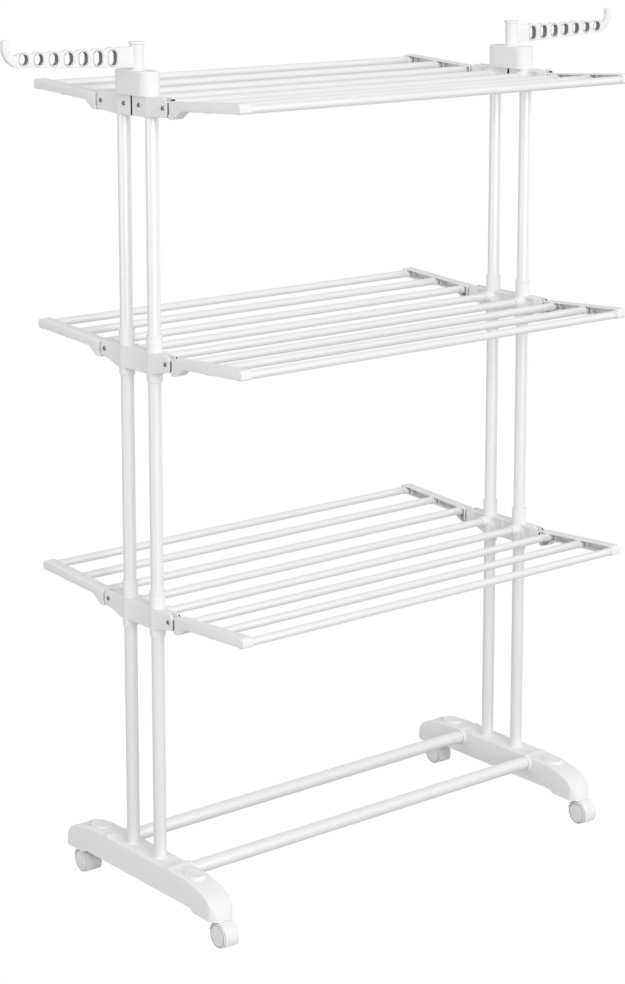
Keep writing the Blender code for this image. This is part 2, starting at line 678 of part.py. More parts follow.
def build_base():
    foot = foot_mesh()
    wheel = wheel_mesh()
    housing = housing_mesh()
    for end, side in (("left", -1), ("right", 1)):
        shape = foot if side > 0 else mirrored_x(foot)
        place(f"foot_{end}", shape, "white_plastic", (side * POST_X, 0, 0))
        for where, depth in (("front", -1), ("back", 1)):
            swivel = pivot(f"caster_{where}_{end}", (side * POST_X, depth * STEM_Y, 0))
            place(f"caster_housing_{where}_{end}", housing.copy(), "white_plastic", parent=swivel)
            spot = (0, -CASTER_TRAIL, WHEEL_DIA / 2)
            place(f"caster_wheels_{where}_{end}", wheel.copy(), "wheel_plastic", spot, swivel)
    reach = POST_SPACING - FOOT_WIDTH + 2 * TUBE_SOCKET_DEPTH
    for where, depth in (("front", -1), ("back", 1)):
        spot = (0, depth * BASE_TUBE_SPREAD / 2, BASE_TUBE_Z)
        bar(f"base_tube_{where}", BASE_TUBE_DIA / 2, reach, "white_tube", spot, facets=FACETS)


def build_posts():
    top = COVER_BASE_Z - POST_CAP - CLEARANCE
    for end, side in (("left", -1), ("right", 1)):
        for where, depth in (("front", -1), ("back", 1)):
            mesh = cylinder(POST_DIA / 2, POST_SOCKET_Z, top)
            place(f"post_{where}_{end}", mesh, "white_tube", (side * POST_X, depth * POST_Y, 0))


def build_tiers():
    bracket = tier_bracket_mesh()
    top_bracket = top_bracket_mesh()
    arm = arm_mesh()
    centre_length = POST_SPACING - POST_DIA - 2 * (2 * CLEARANCE + SOCKET_END)
    wing_length = POST_SPACING + 2 * rod_stop()
    line = Vector((0, 0, HINGE_DROP + WING_RISE))
    for tier, height in TIER_HEIGHTS.items():
        shape = top_bracket if tier == "top" else bracket
        for end, side in (("left", -1), ("right", 1)):
            mesh = shape.copy() if side > 0 else mirrored_x(shape)
            place(f"{tier}_bracket_{end}", mesh, "white_plastic", (side * POST_X, 0, height))
        for where, depth in (("front", -1), ("back", 1)):
            bar(f"{tier}_centre_rod_{where}", ROD_DIA / 2, centre_length, "white_tube",
                (0, depth * CENTRE_ROD_Y, height))
            hinge = pivot(f"{tier}_wing_{where}", (0, depth * HINGE_Y, height - HINGE_DROP))
            for end, side in (("left", -1), ("right", 1)):
                flip = Matrix.Diagonal((side, depth, 1, 1))
                spot = (side * POST_X, 0, 0)
                place(f"{tier}_{where}_arm_{end}", moved(arm, flip), "white_plastic", spot, hinge)
            for index in range(WING_RODS):
                along = Matrix.Rotation(WING_TILT, 4, "X") @ (Vector((0, rod_out(index), 0)) + line)
                bar(f"{tier}_{where}_rod_{index + 1}", ROD_DIA / 2, wing_length, "white_tube",
                    (0, depth * along.y, along.z), hinge)


def build_hangers():
    hanger = hanger_mesh()
    for end, side in (("left", -1), ("right", 1)):
        mesh = hanger if side > 0 else mirrored_x(hanger)
        place(f"hanger_arm_{end}", mesh, "white_plastic", (side * POST_X, 0, COVER_TOP_Z))


clear_scene()
MATERIALS = {finish[0]: material(*finish) for finish in (WHITE_PLASTIC, WHITE_TUBE, WHEEL_PLASTIC)}
build_base()
build_posts()
build_tiers()
build_hangers()
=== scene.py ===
"""Looks of a rolling clothes drying rack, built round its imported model.

Metres, +Z up; X runs along the rods, the front is at -Y and the floor is Z = 0. Every moulding of
an end is drawn once for the right end, where x = 0 is the middle of the posts and +x points
outward, and is mirrored for the left end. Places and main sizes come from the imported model.
"""

import json
from math import cos, hypot, pi, radians, sin, tan

import bmesh
import bpy
from bpy.props import FloatProperty, FloatVectorProperty, IntProperty, PointerProperty
from mathutils import Matrix, Vector

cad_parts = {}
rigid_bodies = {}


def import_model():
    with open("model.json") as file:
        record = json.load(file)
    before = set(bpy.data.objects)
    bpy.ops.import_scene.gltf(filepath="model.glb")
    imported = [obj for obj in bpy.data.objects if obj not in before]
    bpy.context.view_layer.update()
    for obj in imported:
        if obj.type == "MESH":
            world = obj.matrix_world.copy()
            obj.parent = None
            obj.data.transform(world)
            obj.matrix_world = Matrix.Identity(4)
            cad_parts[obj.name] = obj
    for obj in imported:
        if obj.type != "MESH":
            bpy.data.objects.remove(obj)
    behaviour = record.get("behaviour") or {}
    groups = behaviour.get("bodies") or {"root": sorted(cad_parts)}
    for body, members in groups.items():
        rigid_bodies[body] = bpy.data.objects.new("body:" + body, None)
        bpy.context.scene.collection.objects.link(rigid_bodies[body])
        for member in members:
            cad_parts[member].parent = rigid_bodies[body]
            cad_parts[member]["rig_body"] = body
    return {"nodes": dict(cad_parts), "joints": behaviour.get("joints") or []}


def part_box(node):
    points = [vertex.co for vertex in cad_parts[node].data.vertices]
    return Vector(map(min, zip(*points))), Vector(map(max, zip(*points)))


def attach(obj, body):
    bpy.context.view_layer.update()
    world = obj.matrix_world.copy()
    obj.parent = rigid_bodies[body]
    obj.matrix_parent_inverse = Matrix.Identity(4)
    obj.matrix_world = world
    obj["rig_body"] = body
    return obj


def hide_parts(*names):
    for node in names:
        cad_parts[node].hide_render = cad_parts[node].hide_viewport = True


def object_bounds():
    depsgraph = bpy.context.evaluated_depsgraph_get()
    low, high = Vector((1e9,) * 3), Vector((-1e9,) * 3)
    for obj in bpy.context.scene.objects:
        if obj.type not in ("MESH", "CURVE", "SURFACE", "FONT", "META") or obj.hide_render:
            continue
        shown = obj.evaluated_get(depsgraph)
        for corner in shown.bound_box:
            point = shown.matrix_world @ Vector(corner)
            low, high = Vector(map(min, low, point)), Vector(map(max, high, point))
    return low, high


bl_info = {
    "name": "Drying Rack Looks",
    "version": (1, 0, 0),
    "blender": (4, 5, 0),
    "location": "3D View > Sidebar > Drying Rack",
    "description": "Builds the tubes, mouldings, casters and screws of a rolling clothes drying rack",
    "category": "Object",
}

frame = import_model()
CAD_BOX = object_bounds()

ENDS = (("left", -1), ("right", 1))
DEPTHS = (("front", -1), ("back", 1))
TIERS = ("lower", "middle", "top")
WING_RODS = 3
FACETS = 40                    # sides of the round pieces
FINE = 24                      # sides of the rods and sockets
GAP = 0.0003                   # between pieces that touch
BITE = 0.0020                  # how far joined shapes reach into each other
THROUGH = 0.10                 # reach of a cut that runs right through
MERGE = 0.000004               # corners closer than this are one


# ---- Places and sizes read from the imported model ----
def middle(node):
    low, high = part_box(node)
    return (low + high) / 2


def joint_spot(name):
    for joint in frame["joints"]:
        if joint["name"] == name:
            return Vector(joint["pos_m"])
    raise ValueError(f"the packed model has no joint named {name}")


POST = middle("post_back_right")
POST_X = POST.x
POST_Y = POST.y
POST_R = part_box("post_back_right")[1].x - POST_X
POST_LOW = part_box("post_back_right")[0].z
POST_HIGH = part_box("post_back_right")[1].z
ROD_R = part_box("lower_front_rod_1")[1].z - middle("lower_front_rod_1").z
CENTRE_ROD_Y = middle("lower_centre_rod_back").y
TIER_Z = {tier: middle(f"{tier}_centre_rod_back").z for tier in TIERS}
HINGE = joint_spot("lower_wing_back_fold")
HINGE_Y = HINGE.y
HINGE_DROP = TIER_Z["lower"] - HINGE.z
BLOCK_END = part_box("lower_bracket_right")[1].y
COLLAR_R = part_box("lower_bracket_right")[1].x - POST_X
COLLAR_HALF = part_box("lower_bracket_right")[1].z - TIER_Z["lower"]
SOCKET_REACH = POST_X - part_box("lower_bracket_right")[0].x
BLOCK_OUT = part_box("lower_back_arm_right")[1].x - POST_X
TUBE = middle("base_tube_back")
TUBE_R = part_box("base_tube_back")[1].z - TUBE.z
FOOT_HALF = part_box("foot_right")[1].y
FOOT_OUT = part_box("foot_right")[1].x - POST_X
FOOT_END_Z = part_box("foot_right")[0].z
STEM_Y = joint_spot("caster_back_right_swivel").y
AXLE = joint_spot("wheels_back_right_roll")
WHEEL_R = AXLE.z
WHEEL_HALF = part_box("caster_wheels_back_right")[1].x - POST_X
TRAIL = STEM_Y - AXLE.y
COVER_TOP = joint_spot("hanger_right_swing").z
HANGER_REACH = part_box("hanger_arm_right")[1].x - POST_X
HANGER_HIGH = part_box("hanger_arm_right")[1].z - COVER_TOP
CAP_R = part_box("hanger_arm_right")[1].y


def size(default, name, description):
    """A length that a user would change."""
    return FloatProperty(
        name=name, description=description, default=default, min=0.0, unit="LENGTH", precision=5,
    )


def colour(default, name, description):
    return FloatVectorProperty(
        name=name, description=description, default=default, subtype="COLOR", size=3, min=0.0, max=1.0,
    )


def share(default, name, description):
    return FloatProperty(
        name=name, description=description, default=default, min=0.0, max=1.0, subtype="FACTOR",
    )


# ---- Settings ----
class RackTubeSettings(bpy.types.PropertyGroup):
    rod_wall: size(0.0007, "Rod wall", "Wall of the drying rods")
    post_wall: size(0.0010, "Post wall", "Wall of the posts and base tubes")
    end_round: size(0.0006, "End rounding", "Rounding of the tubes' ends")
    neck_drop: size(0.0009, "Neck", "How much narrower a post is where its lengths join inside a collar")
    neck_half: size(0.0180, "Neck half length", "Half the length of a joint inside a collar")


class RackBracketSettings(bpy.types.PropertyGroup):
    block_in: size(0.0085, "Inner face", "Inner face of the blocks, from the posts' middle")
    block_top: size(0.0135, "Top", "Top of the blocks above the rods' axis")
    belly: size(0.0287, "Belly", "Underside between the collars, below the rods' axis")
    end_drop: size(0.0158, "End drop", "Underside at the ends, below the rods' axis")
    corner: size(0.0110, "Corner", "Rounding of the blocks' ends, seen from the side")
    face_round: size(0.0012, "Face rounding", "Rounding round the inner and outer faces")
    collar_lip: size(0.0007, "Collar lip", "How far a collar's lip stands out")
    collar_taper: size(0.0035, "Collar taper", "Length of the taper under a collar")
    socket_wall: size(0.0026, "Socket wall", "Wall of the centre rods' sockets")
    cheek: size(0.0058, "Cheek", "Block left outside the hinge slot")
    tongue: size(0.0090, "Tongue", "Thickness of a wing's hinge tongue")
    tongue_reach: size(0.0095, "Tongue reach", "Nose radius of the hinge tongue")
    pocket_depth: size(0.0050, "Pocket depth", "Depth of the moulding pockets inside the blocks")
    screw_seat: size(0.0056, "Screw seat", "Radius of the shallow seat round a screw")
    top_block: size(0.0155, "Cover base", "Underside of the cover above the top rods' axis")
    top_belly: size(0.0225, "Top belly", "Underside of the top blocks below the rods' axis")
    dots: FloatVectorProperty(
        name="Dots", description="Places across the block of the small holes over a hinge",
        default=(-0.0045, 0.0020, 0.0085), unit="LENGTH",
    )
    top_gap: size(0.0050, "Top slot", "Slot between the front and back top blocks")
    cover_width: size(0.0440, "Cover width", "Across the rack's end")
    cover_length: size(0.1080, "Cover length", "From front to back")
    cover_corner: size(0.0200, "Cover corner", "Corner radius of the cover, seen from above")
    cover_line: size(0.0005, "Cover lines", "Depth of the reveal lines round the cover")


class RackArmSettings(bpy.types.PropertyGroup):
    tilt: FloatProperty(
        name="Tilt", description="Rise of an open wing towards its end", default=radians(2.9),
        subtype="ANGLE", unit="ROTATION",
    )
    rise: size(0.0005, "Rise", "Wing rods' line above the tier's rods at the hinge")
    length: size(0.2330, "Length", "From the hinge axis to the outer end")
    above: size(0.0120, "Above", "Side plate above the rods' axis")
    below: size(0.0070, "Below", "Side plate below the rods' axis")
    near_drop: size(0.0025, "Hinge drop", "How far the top edge falls towards the hinge")
    wall: size(0.0022, "Wall", "Wall of the arm's tray")
    end_radius: size(0.0088, "End radius", "Rounding over the arm's outer end")
    edge_round: size(0.0016, "Edge rounding", "Rounding round the outer face")
    lobe_depth: size(0.0205, "Lobe depth", "Lowest point of the stop lobe below the hinge")
    lobe_length: size(0.0600, "Lobe length", "Where the lobe meets the arm's underside")
    lobe_start: size(0.0100, "Lobe start", "Where the lobe is deepest, out from the block's end")
    stop_top: size(0.0112, "Stop top", "Where the stop face starts, below the hinge")
    rib: size(0.0016, "Rib", "Thickness of the stiffening ribs")
    socket_wall: size(0.0018, "Socket wall", "Wall of the wing rods' sockets")
    socket_proud: size(0.0018, "Socket proud", "How far the sockets stand in past the tray")


class RackHangerSettings(bpy.types.PropertyGroup):
    sleeve: size(0.0258, "Sleeve", "Diameter of the pivot sleeve")
    sleeve_wall: size(0.0048, "Sleeve wall", "Wall of the pivot sleeve")
    cap_thick: size(0.0048, "Cap", "Thickness of the sleeve's cap")
    disc: size(0.0022, "Base disc", "Thickness of the disc under the sleeve")
    thick: size(0.0100, "Thickness", "Thickness of the arm")
    first_hole: size(0.0572, "First hole", "From the pivot axis to the first hole")
    pitch: size(0.0320, "Pitch", "Between the holes")
    hole_width: size(0.0170, "Hole width", "Width of the oval holes")
    rim: size(0.0016, "Rim width", "Width of the raised rim round each hole")
    rim_proud: size(0.0007, "Rim height", "How far the rims stand out")
    scallop: size(0.0032, "Scallop", "Depth of the notches along the top edge")
    groove: size(0.0005, "Groove", "Depth of the ring round the sleeve")
    holes: IntProperty(name="Holes", description="Number of oval holes", default=7, min=2, max=9)


class RackBaseSettings(bpy.types.PropertyGroup):
    body_z: size(0.0580, "Underside", "Height of the foot's underside")
    rise: size(0.0552, "Rise", "Height of the foot above its underside")
    arch_start: size(0.1200, "Arch start", "Where the foot's top starts to curve down")
    plan_radius: size(0.0200, "Plan radius", "Rounding of the foot's ends, seen from above")
    edge: size(0.0062, "Edge radius", "Rounding along the foot's top edges")
    wall: size(0.0030, "Wall", "Wall of the foot")
    step_in: size(0.0640, "Step start", "Where the underside is down at its end level, in from the end")
    step_out: size(0.0800, "Step end", "Where the underside starts to step down, in from the end")
    post_rim: size(0.0030, "Post rim", "Wall of the ring round a post")
    tube_rim: size(0.0040, "Tube rim", "Wall of the socket round a base tube")
    rim_out: size(0.0045, "Socket reach", "How far the tube sockets stand in")
    pad_y: size(0.1580, "Pad place", "Middle of the raised pads, from the foot's middle")
    pad_width: size(0.0340, "Pad width", "Across the foot")
    pad_length: size(0.0460, "Pad length", "Along the foot")
    pad_rise: size(0.0030, "Pad height", "Height of the raised pads")
    wheel_gap: size(0.0110, "Wheel gap", "Between a caster's two wheels")
    hood_gap: size(0.0016, "Hood gap", "Between the wheels and their hood")
    hood_wall: size(0.0018, "Hood wall", "Wall of the caster's hood")
    stem: size(0.0090, "Stem", "Diameter of the caster's stem")


class RackFinishSettings(bpy.types.PropertyGroup):
    plastic: colour((0.800, 0.800, 0.800), "Plastic", "Colour of the white mouldings")
    tube: colour((0.880, 0.880, 0.880), "Tube", "Colour of the coated tubes")
    wheel: colour((0.740, 0.740, 0.742), "Wheel", "Colour of the wheels")
    screw: colour((0.300, 0.300, 0.305), "Screw", "Colour of the screws")
    # recess and crease are painted shade: dark and grey colours that stand in for the shade in slots,
    # grooves, hole walls and block ends
    recess: colour((0.030, 0.030, 0.031), "Recess", "Colour down inside the slots and over the hinges")
    crease: colour((0.240, 0.240, 0.242), "Crease", "Colour down in the fine grooves of the mouldings")
    floor: colour((0.550, 0.550, 0.550), "Floor", "Colour of the floor")
    plastic_rough: share(0.42, "Plastic roughness", "Mean roughness of the mouldings")
    tube_rough: share(0.38, "Tube roughness", "Mean roughness of the coated tubes")


class RackStageSettings(bpy.types.PropertyGroup):
    camera: FloatVectorProperty(
        name="Camera", description="Place of the camera", default=(-3.0723, -3.6978, 2.0175),
        subtype="TRANSLATION", unit="LENGTH",
    )
    turn: FloatProperty(
        name="Turn", description="Camera's turn from +Y towards +X", default=radians(39.174), subtype="ANGLE",
    )
    tilt: FloatProperty(
        name="Tilt", description="Camera's tilt below level", default=radians(10.104), subtype="ANGLE",
    )
    lens: FloatProperty(name="Lens", description="Focal length in millimetres", default=89.0, unit="CAMERA")
    shift: FloatProperty(name="Shift", description="Camera's upward shift", default=-0.20)
    key_power: FloatProperty(
        name="Key light", description="Power of the key light", default=640.0, unit="POWER",
    )
    fill_power: FloatProperty(
        name="Fill lights", description="Power of the lights at the sides", default=96.0, unit="POWER",
    )
    sky: FloatProperty(
        name="Surround", description="Strength of the even light all round", default=0.70, min=0.0,
    )
    floor_half: size(30.0, "Floor", "Half the side of the floor")


SETTINGS = (
    ("rack_tubes", RackTubeSettings),
    ("rack_brackets", RackBracketSettings),
    ("rack_arms", RackArmSettings),
    ("rack_hangers", RackHangerSettings),
    ("rack_base", RackBaseSettings),
    ("rack_finish", RackFinishSettings),
    ("rack_stage", RackStageSettings),
)


# ---- Shapes ----
def mesh_from(bm):
    bmesh.ops.recalc_face_normals(bm, faces=bm.faces)
    mesh = bpy.data.meshes.new("shape")
    bm.to_mesh(mesh)
    bm.free()
    return mesh


def arc(centre, radius, start, stop, steps):
    """Points round a circle, both ends included; angles in degrees."""
    angles = [radians(start + (stop - start) * k / steps) for k in range(steps + 1)]
    return [(centre[0] + radius * cos(a), centre[1] + radius * sin(a)) for a in angles]


def blend(first, last, t):
    return first + (last - first) * t


def rounded_rectangle(half_a, half_b, radius, steps=8):
    points = []
    for sa, sb, start in ((1, 1, 0), (-1, 1, 90), (-1, -1, 180), (1, -1, 270)):
        centre = (sa * (half_a - radius), sb * (half_b - radius))
        points += arc(centre, radius, start, start + 90, steps)
    return points


def prism(outline, low, high, along="X", round_low=0.0, round_high=0.0, steps=3):
    """A closed outline extruded between two places along an axis, its two rims rounded."""
    point = {
        "X": lambda a, b, t: (t, a, b),
        "Y": lambda a, b, t: (a, t, b),
        "Z": lambda a, b, t: (a, b, t),
    }[along]
    bm = bmesh.new()
    base = [bm.verts.new(point(a, b, low)) for a, b in outline]
    top = [bm.verts.new(point(a, b, high)) for a, b in outline]
    ends = [bm.faces.new(base), bm.faces.new(top)]
    count = len(outline)
    for i in range(count):
        bm.faces.new((base[i], base[(i + 1) % count], top[(i + 1) % count], top[i]))
    bmesh.ops.recalc_face_normals(bm, faces=bm.faces)
    rims = [list(face.edges) for face in ends]
    for edges, width in zip(rims, (round_low, round_high)):
        if width:
            bmesh.ops.bevel(bm, geom=edges, offset=width, segments=steps, profile=0.5, affect="EDGES")
    return mesh_from(bm)


def box(low, high):
    outline = [(low[1], low[2]), (high[1], low[2]), (high[1], high[2]), (low[1], high[2])]
    return prism(outline, low[0], high[0])


def stacked(outlines):
    """A closed skin through outlines of the same number of points, each given as 3D points."""
    bm = bmesh.new()
    rings = [[bm.verts.new(p) for p in outline] for outline in outlines]
    count = len(rings[0])
    for lower, upper in zip(rings, rings[1:]):
        for i in range(count):
            n = (i + 1) % count
            bm.faces.new((lower[i], lower[n], upper[n], upper[i]))
    bm.faces.new(rings[0])
    bm.faces.new(rings[-1])
    return mesh_from(bm)


def turned(profile, axis="Z", centre=(0, 0, 0), facets=FACETS, turn=0.0):
    """A closed (radius, height) profile turned round an axis through centre."""
    bm = bmesh.new()
    rings = []
    for radius, height in profile:
        if radius == 0:
            rings.append([bm.verts.new((0, 0, height))])
            continue
        angles = [2 * pi * (k + turn) / facets for k in range(facets)]
        rings.append([bm.verts.new((radius * cos(a), radius * sin(a), height)) for a in angles])
    for lower, upper in zip(rings, rings[1:] + rings[:1]):
        if len(lower) == 1 and len(upper) == 1:
            continue
        for k in range(facets):
            n = (k + 1) % facets
            corners = [lower[k % len(lower)], lower[n % len(lower)]]
            corners += [upper[n % len(upper)], upper[k % len(upper)]]
            bm.faces.new(list(dict.fromkeys(corners)))
    turns = {"Z": Matrix(), "X": Matrix.Rotation(pi / 2, 4, "Y")}
    bmesh.ops.transform(bm, matrix=Matrix.Translation(centre) @ turns[axis], verts=bm.verts)
    return mesh_from(bm)


def cylinder(radius, low, high, axis="Z", centre=(0, 0, 0), facets=FACETS, edge=0.0):
    """A solid round bar with rounded ends."""
    if edge:
        profile = [(0, low)] + arc((radius - edge, low + edge), edge, -90, 0, 3)
        profile += arc((radius - edge, high - edge), edge, 0, 90, 3) + [(0, high)]
    else:
        profile = [(0, low), (radius, low), (radius, high), (0, high)]
    return turned(profile, axis, centre, facets)


def combined(base, others, operation):
    """The base mesh with each of the others joined to it or cut from it."""
    scene = bpy.context.scene
    holder = bpy.data.objects.new("work", base)
    scene.collection.objects.link(holder)
    tools = []
    for other in others:
        tool = bpy.data.objects.new("tool", other)
        scene.collection.objects.link(tool)
        tools.append(tool)
        step = holder.modifiers.new("boolean", "BOOLEAN")
        step.operation = operation
        step.solver = "MANIFOLD"
        step.object = tool
    evaluated = holder.evaluated_get(bpy.context.evaluated_depsgraph_get())
    shaped = bpy.data.meshes.new_from_object(evaluated)
    for used in [holder] + tools:
        bpy.data.objects.remove(used, do_unlink=True)
    bm = bmesh.new()
    bm.from_mesh(shaped)
    bmesh.ops.remove_doubles(bm, verts=bm.verts, dist=MERGE)
    bmesh.ops.dissolve_degenerate(bm, edges=bm.edges, dist=MERGE)
    bm.to_mesh(shaped)
    bm.free()
    return shaped


def joined(base, *others):
    return combined(base, others, "UNION")


def cut(base, *others):
    return combined(base, others, "DIFFERENCE")


def moved(mesh, matrix):
    """A copy of a mesh under a transform, with its faces still pointing out."""
    copy = mesh.copy()
    copy.transform(matrix)
    if matrix.determinant() < 0:
        copy.flip_normals()
    return copy


def shifted(mesh, x, y, z):
    return moved(mesh, Matrix.Translation((x, y, z)))


def marked(mesh, test, finish):
    """Gives another finish to the faces that pass a test of their middle and normal."""
    if finish not in mesh.materials:
        if not mesh.materials:
            mesh.materials.append(None)
        mesh.materials.append(bpy.data.materials[finish])
    index = mesh.materials.find(finish)
    for face in mesh.polygons:
        if test(face.center, face.normal):
            face.material_index = index
    return mesh


def mirrored(mesh, side, depth=1):
    return moved(mesh, Matrix.Diagonal((side, depth, 1, 1)))


# ---- Materials ----
def group_socket(tree, name, way, kind="NodeSocketFloat", default=None):
    made = tree.interface.new_socket(name=name, in_out=way, socket_type=kind)
    if default is not None:
        made.default_value = default
    return made


def new_group(name, inputs, outputs):
    """An empty node group with its sockets, and its two end nodes."""
    tree = bpy.data.node_groups.new(name, "ShaderNodeTree")
    group_socket(tree, "Vector", "INPUT", "NodeSocketVector")
    for label, default in inputs:
        group_socket(tree, label, "INPUT", default=default)
    for label in outputs:
        group_socket(tree, label, "OUTPUT")
    return tree, tree.nodes.new("NodeGroupInput"), tree.nodes.new("NodeGroupOutput")


def node(tree, kind, **values):
    made = tree.nodes.new(kind)
    for key, value in values.items():
        setattr(made, key, value)
    return made


def maths(tree, operation, first, second=None):
    """A Math node fed by sockets or numbers; returns its output."""
    made = node(tree, "ShaderNodeMath", operation=operation)
    for socket, value in zip(made.inputs, (first, second)):
        if value is None:
            continue
        if isinstance(value, (int, float)):
            socket.default_value = value
        else:
            tree.links.new(value, socket)
    return made.outputs[0]


def remapped(tree, value, from_low, from_high, to_low, to_high):
    made = node(tree, "ShaderNodeMapRange")
    tree.links.new(value, made.inputs["Value"])
    limits = {"From Min": from_low, "From Max": from_high, "To Min": to_low, "To Max": to_high}
    for name, number in limits.items():
        if isinstance(number, (int, float)):
            made.inputs[name].default_value = number
        else:
            tree.links.new(number, made.inputs[name])
    return made.outputs["Result"]


def noise(tree, vector, scale, detail=3.0, roughness=0.5):
    made = node(tree, "ShaderNodeTexNoise")
    tree.links.new(vector, made.inputs["Vector"])
    if isinstance(scale, (int, float)):
        made.inputs["Scale"].default_value = scale
    else:
        tree.links.new(scale, made.inputs["Scale"])
    made.inputs["Detail"].default_value = detail
    made.inputs["Roughness"].default_value = roughness
    return made.outputs["Fac"]


def mottle_group():
    """Slow cloudy change over a surface, between two values."""
    tree, start, end = new_group("cloudy_mottle", (("Scale", 14.0), ("Low", 0.0), ("High", 1.0)), ("Value",))
    cloud = noise(tree, start.outputs["Vector"], start.outputs["Scale"], 4.0, 0.6)
    value = remapped(tree, cloud, 0.3, 0.7, start.outputs["Low"], start.outputs["High"])
    tree.links.new(value, end.inputs["Value"])
    return tree


def grain_group():
    """Fine spark-eroded grain of a mould, with a slower unevenness under it."""
    tree, start, end = new_group("mould_grain", (("Scale", 900.0), ("Waviness", 0.5)), ("Height",))
    fine = noise(tree, start.outputs["Vector"], start.outputs["Scale"], 2.0)
    slow_scale = maths(tree, "MULTIPLY", start.outputs["Scale"], 0.06)
    slow = noise(tree, start.outputs["Vector"], slow_scale, 2.0)
    swell = maths(tree, "MULTIPLY", slow, start.outputs["Waviness"])
    tree.links.new(maths(tree, "ADD", fine, swell), end.inputs["Height"])
    return tree


def wear_group():
    """Rubbed edges: a broken-up mask along the outer edges."""
    tree, start, end = new_group("rubbed_edges", (("Amount", 0.5), ("Scale", 180.0)), ("Mask",))
    shape = node(tree, "ShaderNodeNewGeometry")
    edges = remapped(tree, shape.outputs["Pointiness"], 0.51, 0.60, 0.0, 1.0)
    cloud = noise(tree, start.outputs["Vector"], start.outputs["Scale"], 3.0)
    patches = remapped(tree, cloud, 0.35, 0.7, 0.2, 1.0)
    mask = maths(tree, "MULTIPLY", edges, patches)
    tree.links.new(maths(tree, "MULTIPLY", mask, start.outputs["Amount"]), end.inputs["Mask"])
    return tree


def scuff_group():
    """Sparse fine scratches and draw lines that run along a piece's local Z."""
    tree, start, end = new_group("draw_lines", (("Across", 700.0), ("Along", 9.0)), ("Mask",))
    stretch = node(tree, "ShaderNodeCombineXYZ")
    for name, source in (("X", "Across"), ("Y", "Across"), ("Z", "Along")):
        tree.links.new(start.outputs[source], stretch.inputs[name])
    scaled = node(tree, "ShaderNodeVectorMath", operation="MULTIPLY")
    tree.links.new(start.outputs["Vector"], scaled.inputs[0])
    tree.links.new(stretch.outputs[0], scaled.inputs[1])
    lines = noise(tree, scaled.outputs[0], 1.0, 2.0)
    tree.links.new(remapped(tree, lines, 0.58, 0.74, 0.0, 1.0), end.inputs["Mask"])
    return tree


def use_group(tree, group, vector, **values):
    made = node(tree, "ShaderNodeGroup", node_tree=group)
    tree.links.new(vector, made.inputs["Vector"])
    for name, value in values.items():
        made.inputs[name].default_value = value
    return made.outputs[0]


def tinted(tree, mask, first, second):
    """A colour that changes from the first to the second under a mask."""
    mix = node(tree, "ShaderNodeMix", data_type="RGBA")
    tree.links.new(mask, mix.inputs["Factor"])
    for name, value in (("A", first), ("B", second)):
        socket = next(s for s in mix.inputs if s.name == name and s.type == "RGBA")
        if isinstance(value, bpy.types.NodeSocket):
            tree.links.new(value, socket)
        else:
            socket.default_value = (*value, 1.0)
    return next(s for s in mix.outputs if s.type == "RGBA")


def new_finish(name):
    """A material with its shader and its object coordinates."""
    made = bpy.data.materials.new(name)
    made.use_nodes = True
    tree = made.node_tree
    shader = tree.nodes["Principled BSDF"]
    where = node(tree, "ShaderNodeTexCoord").outputs["Object"]
    return made, tree, shader, where


def bumped(tree, shader, height, distance, strength):
    bump = node(tree, "ShaderNodeBump")
    bump.inputs["Distance"].default_value = distance
    bump.inputs["Strength"].default_value = strength
    tree.links.new(height, bump.inputs["Height"])
    tree.links.new(bump.outputs["Normal"], shader.inputs["Normal"])


def scaled_colour(value, amount):
    return tuple(min(1.0, c * amount) for c in value)


def plastic_finish(name, base, rough, groups, grain=900.0):
    """Satin white moulding: cloudy tint, mould grain, slightly polished edges."""
    made, tree, shader, where = new_finish(name)
    cloud = use_group(tree, groups["mottle"], where, Scale=22.0, Low=0.0, High=1.0)
    body = tinted(tree, cloud, base, scaled_colour(base, 0.975))
    edges = use_group(tree, groups["wear"], where, Amount=0.55, Scale=160.0)
    tree.links.new(tinted(tree, edges, body, scaled_colour(base, 1.05)), shader.inputs["Base Color"])
    patches = use_group(tree, groups["mottle"], where, Scale=48.0, Low=rough - 0.05, High=rough + 0.06)
    polish = maths(tree, "MULTIPLY", edges, -0.12)
    tree.links.new(maths(tree, "ADD", patches, polish), shader.inputs["Roughness"])
    height = use_group(tree, groups["grain"], where, Scale=grain, Waviness=0.6)
    bumped(tree, shader, height, 0.00006, 0.45)
    shader.inputs["Specular IOR Level"].default_value = 0.25
    return made


def tube_finish(base, rough, groups):
    """White coated steel: orange-peel skin, faint draw lines and handling marks."""
    made, tree, shader, where = new_finish("white_tube")
    cloud = use_group(tree, groups["mottle"], where, Scale=9.0, Low=0.0, High=1.0)
    body = tinted(tree, cloud, base, scaled_colour(base, 0.985))
    lines = use_group(tree, groups["scuff"], where, Across=620.0, Along=7.0)
    faint = maths(tree, "MULTIPLY", lines, 0.35)
    tree.links.new(tinted(tree, faint, body, scaled_colour(base, 0.95)), shader.inputs["Base Color"])
    patches = use_group(tree, groups["mottle"], where, Scale=30.0, Low=rough - 0.04, High=rough + 0.07)
    faint = maths(tree, "MULTIPLY", lines, 0.10)
    tree.links.new(maths(tree, "ADD", patches, faint), shader.inputs["Roughness"])
    height = use_group(tree, groups["grain"], where, Scale=420.0, Waviness=1.2)
    bumped(tree, shader, height, 0.00005, 0.35)
    shader.inputs["Specular IOR Level"].default_value = 0.25
    return made


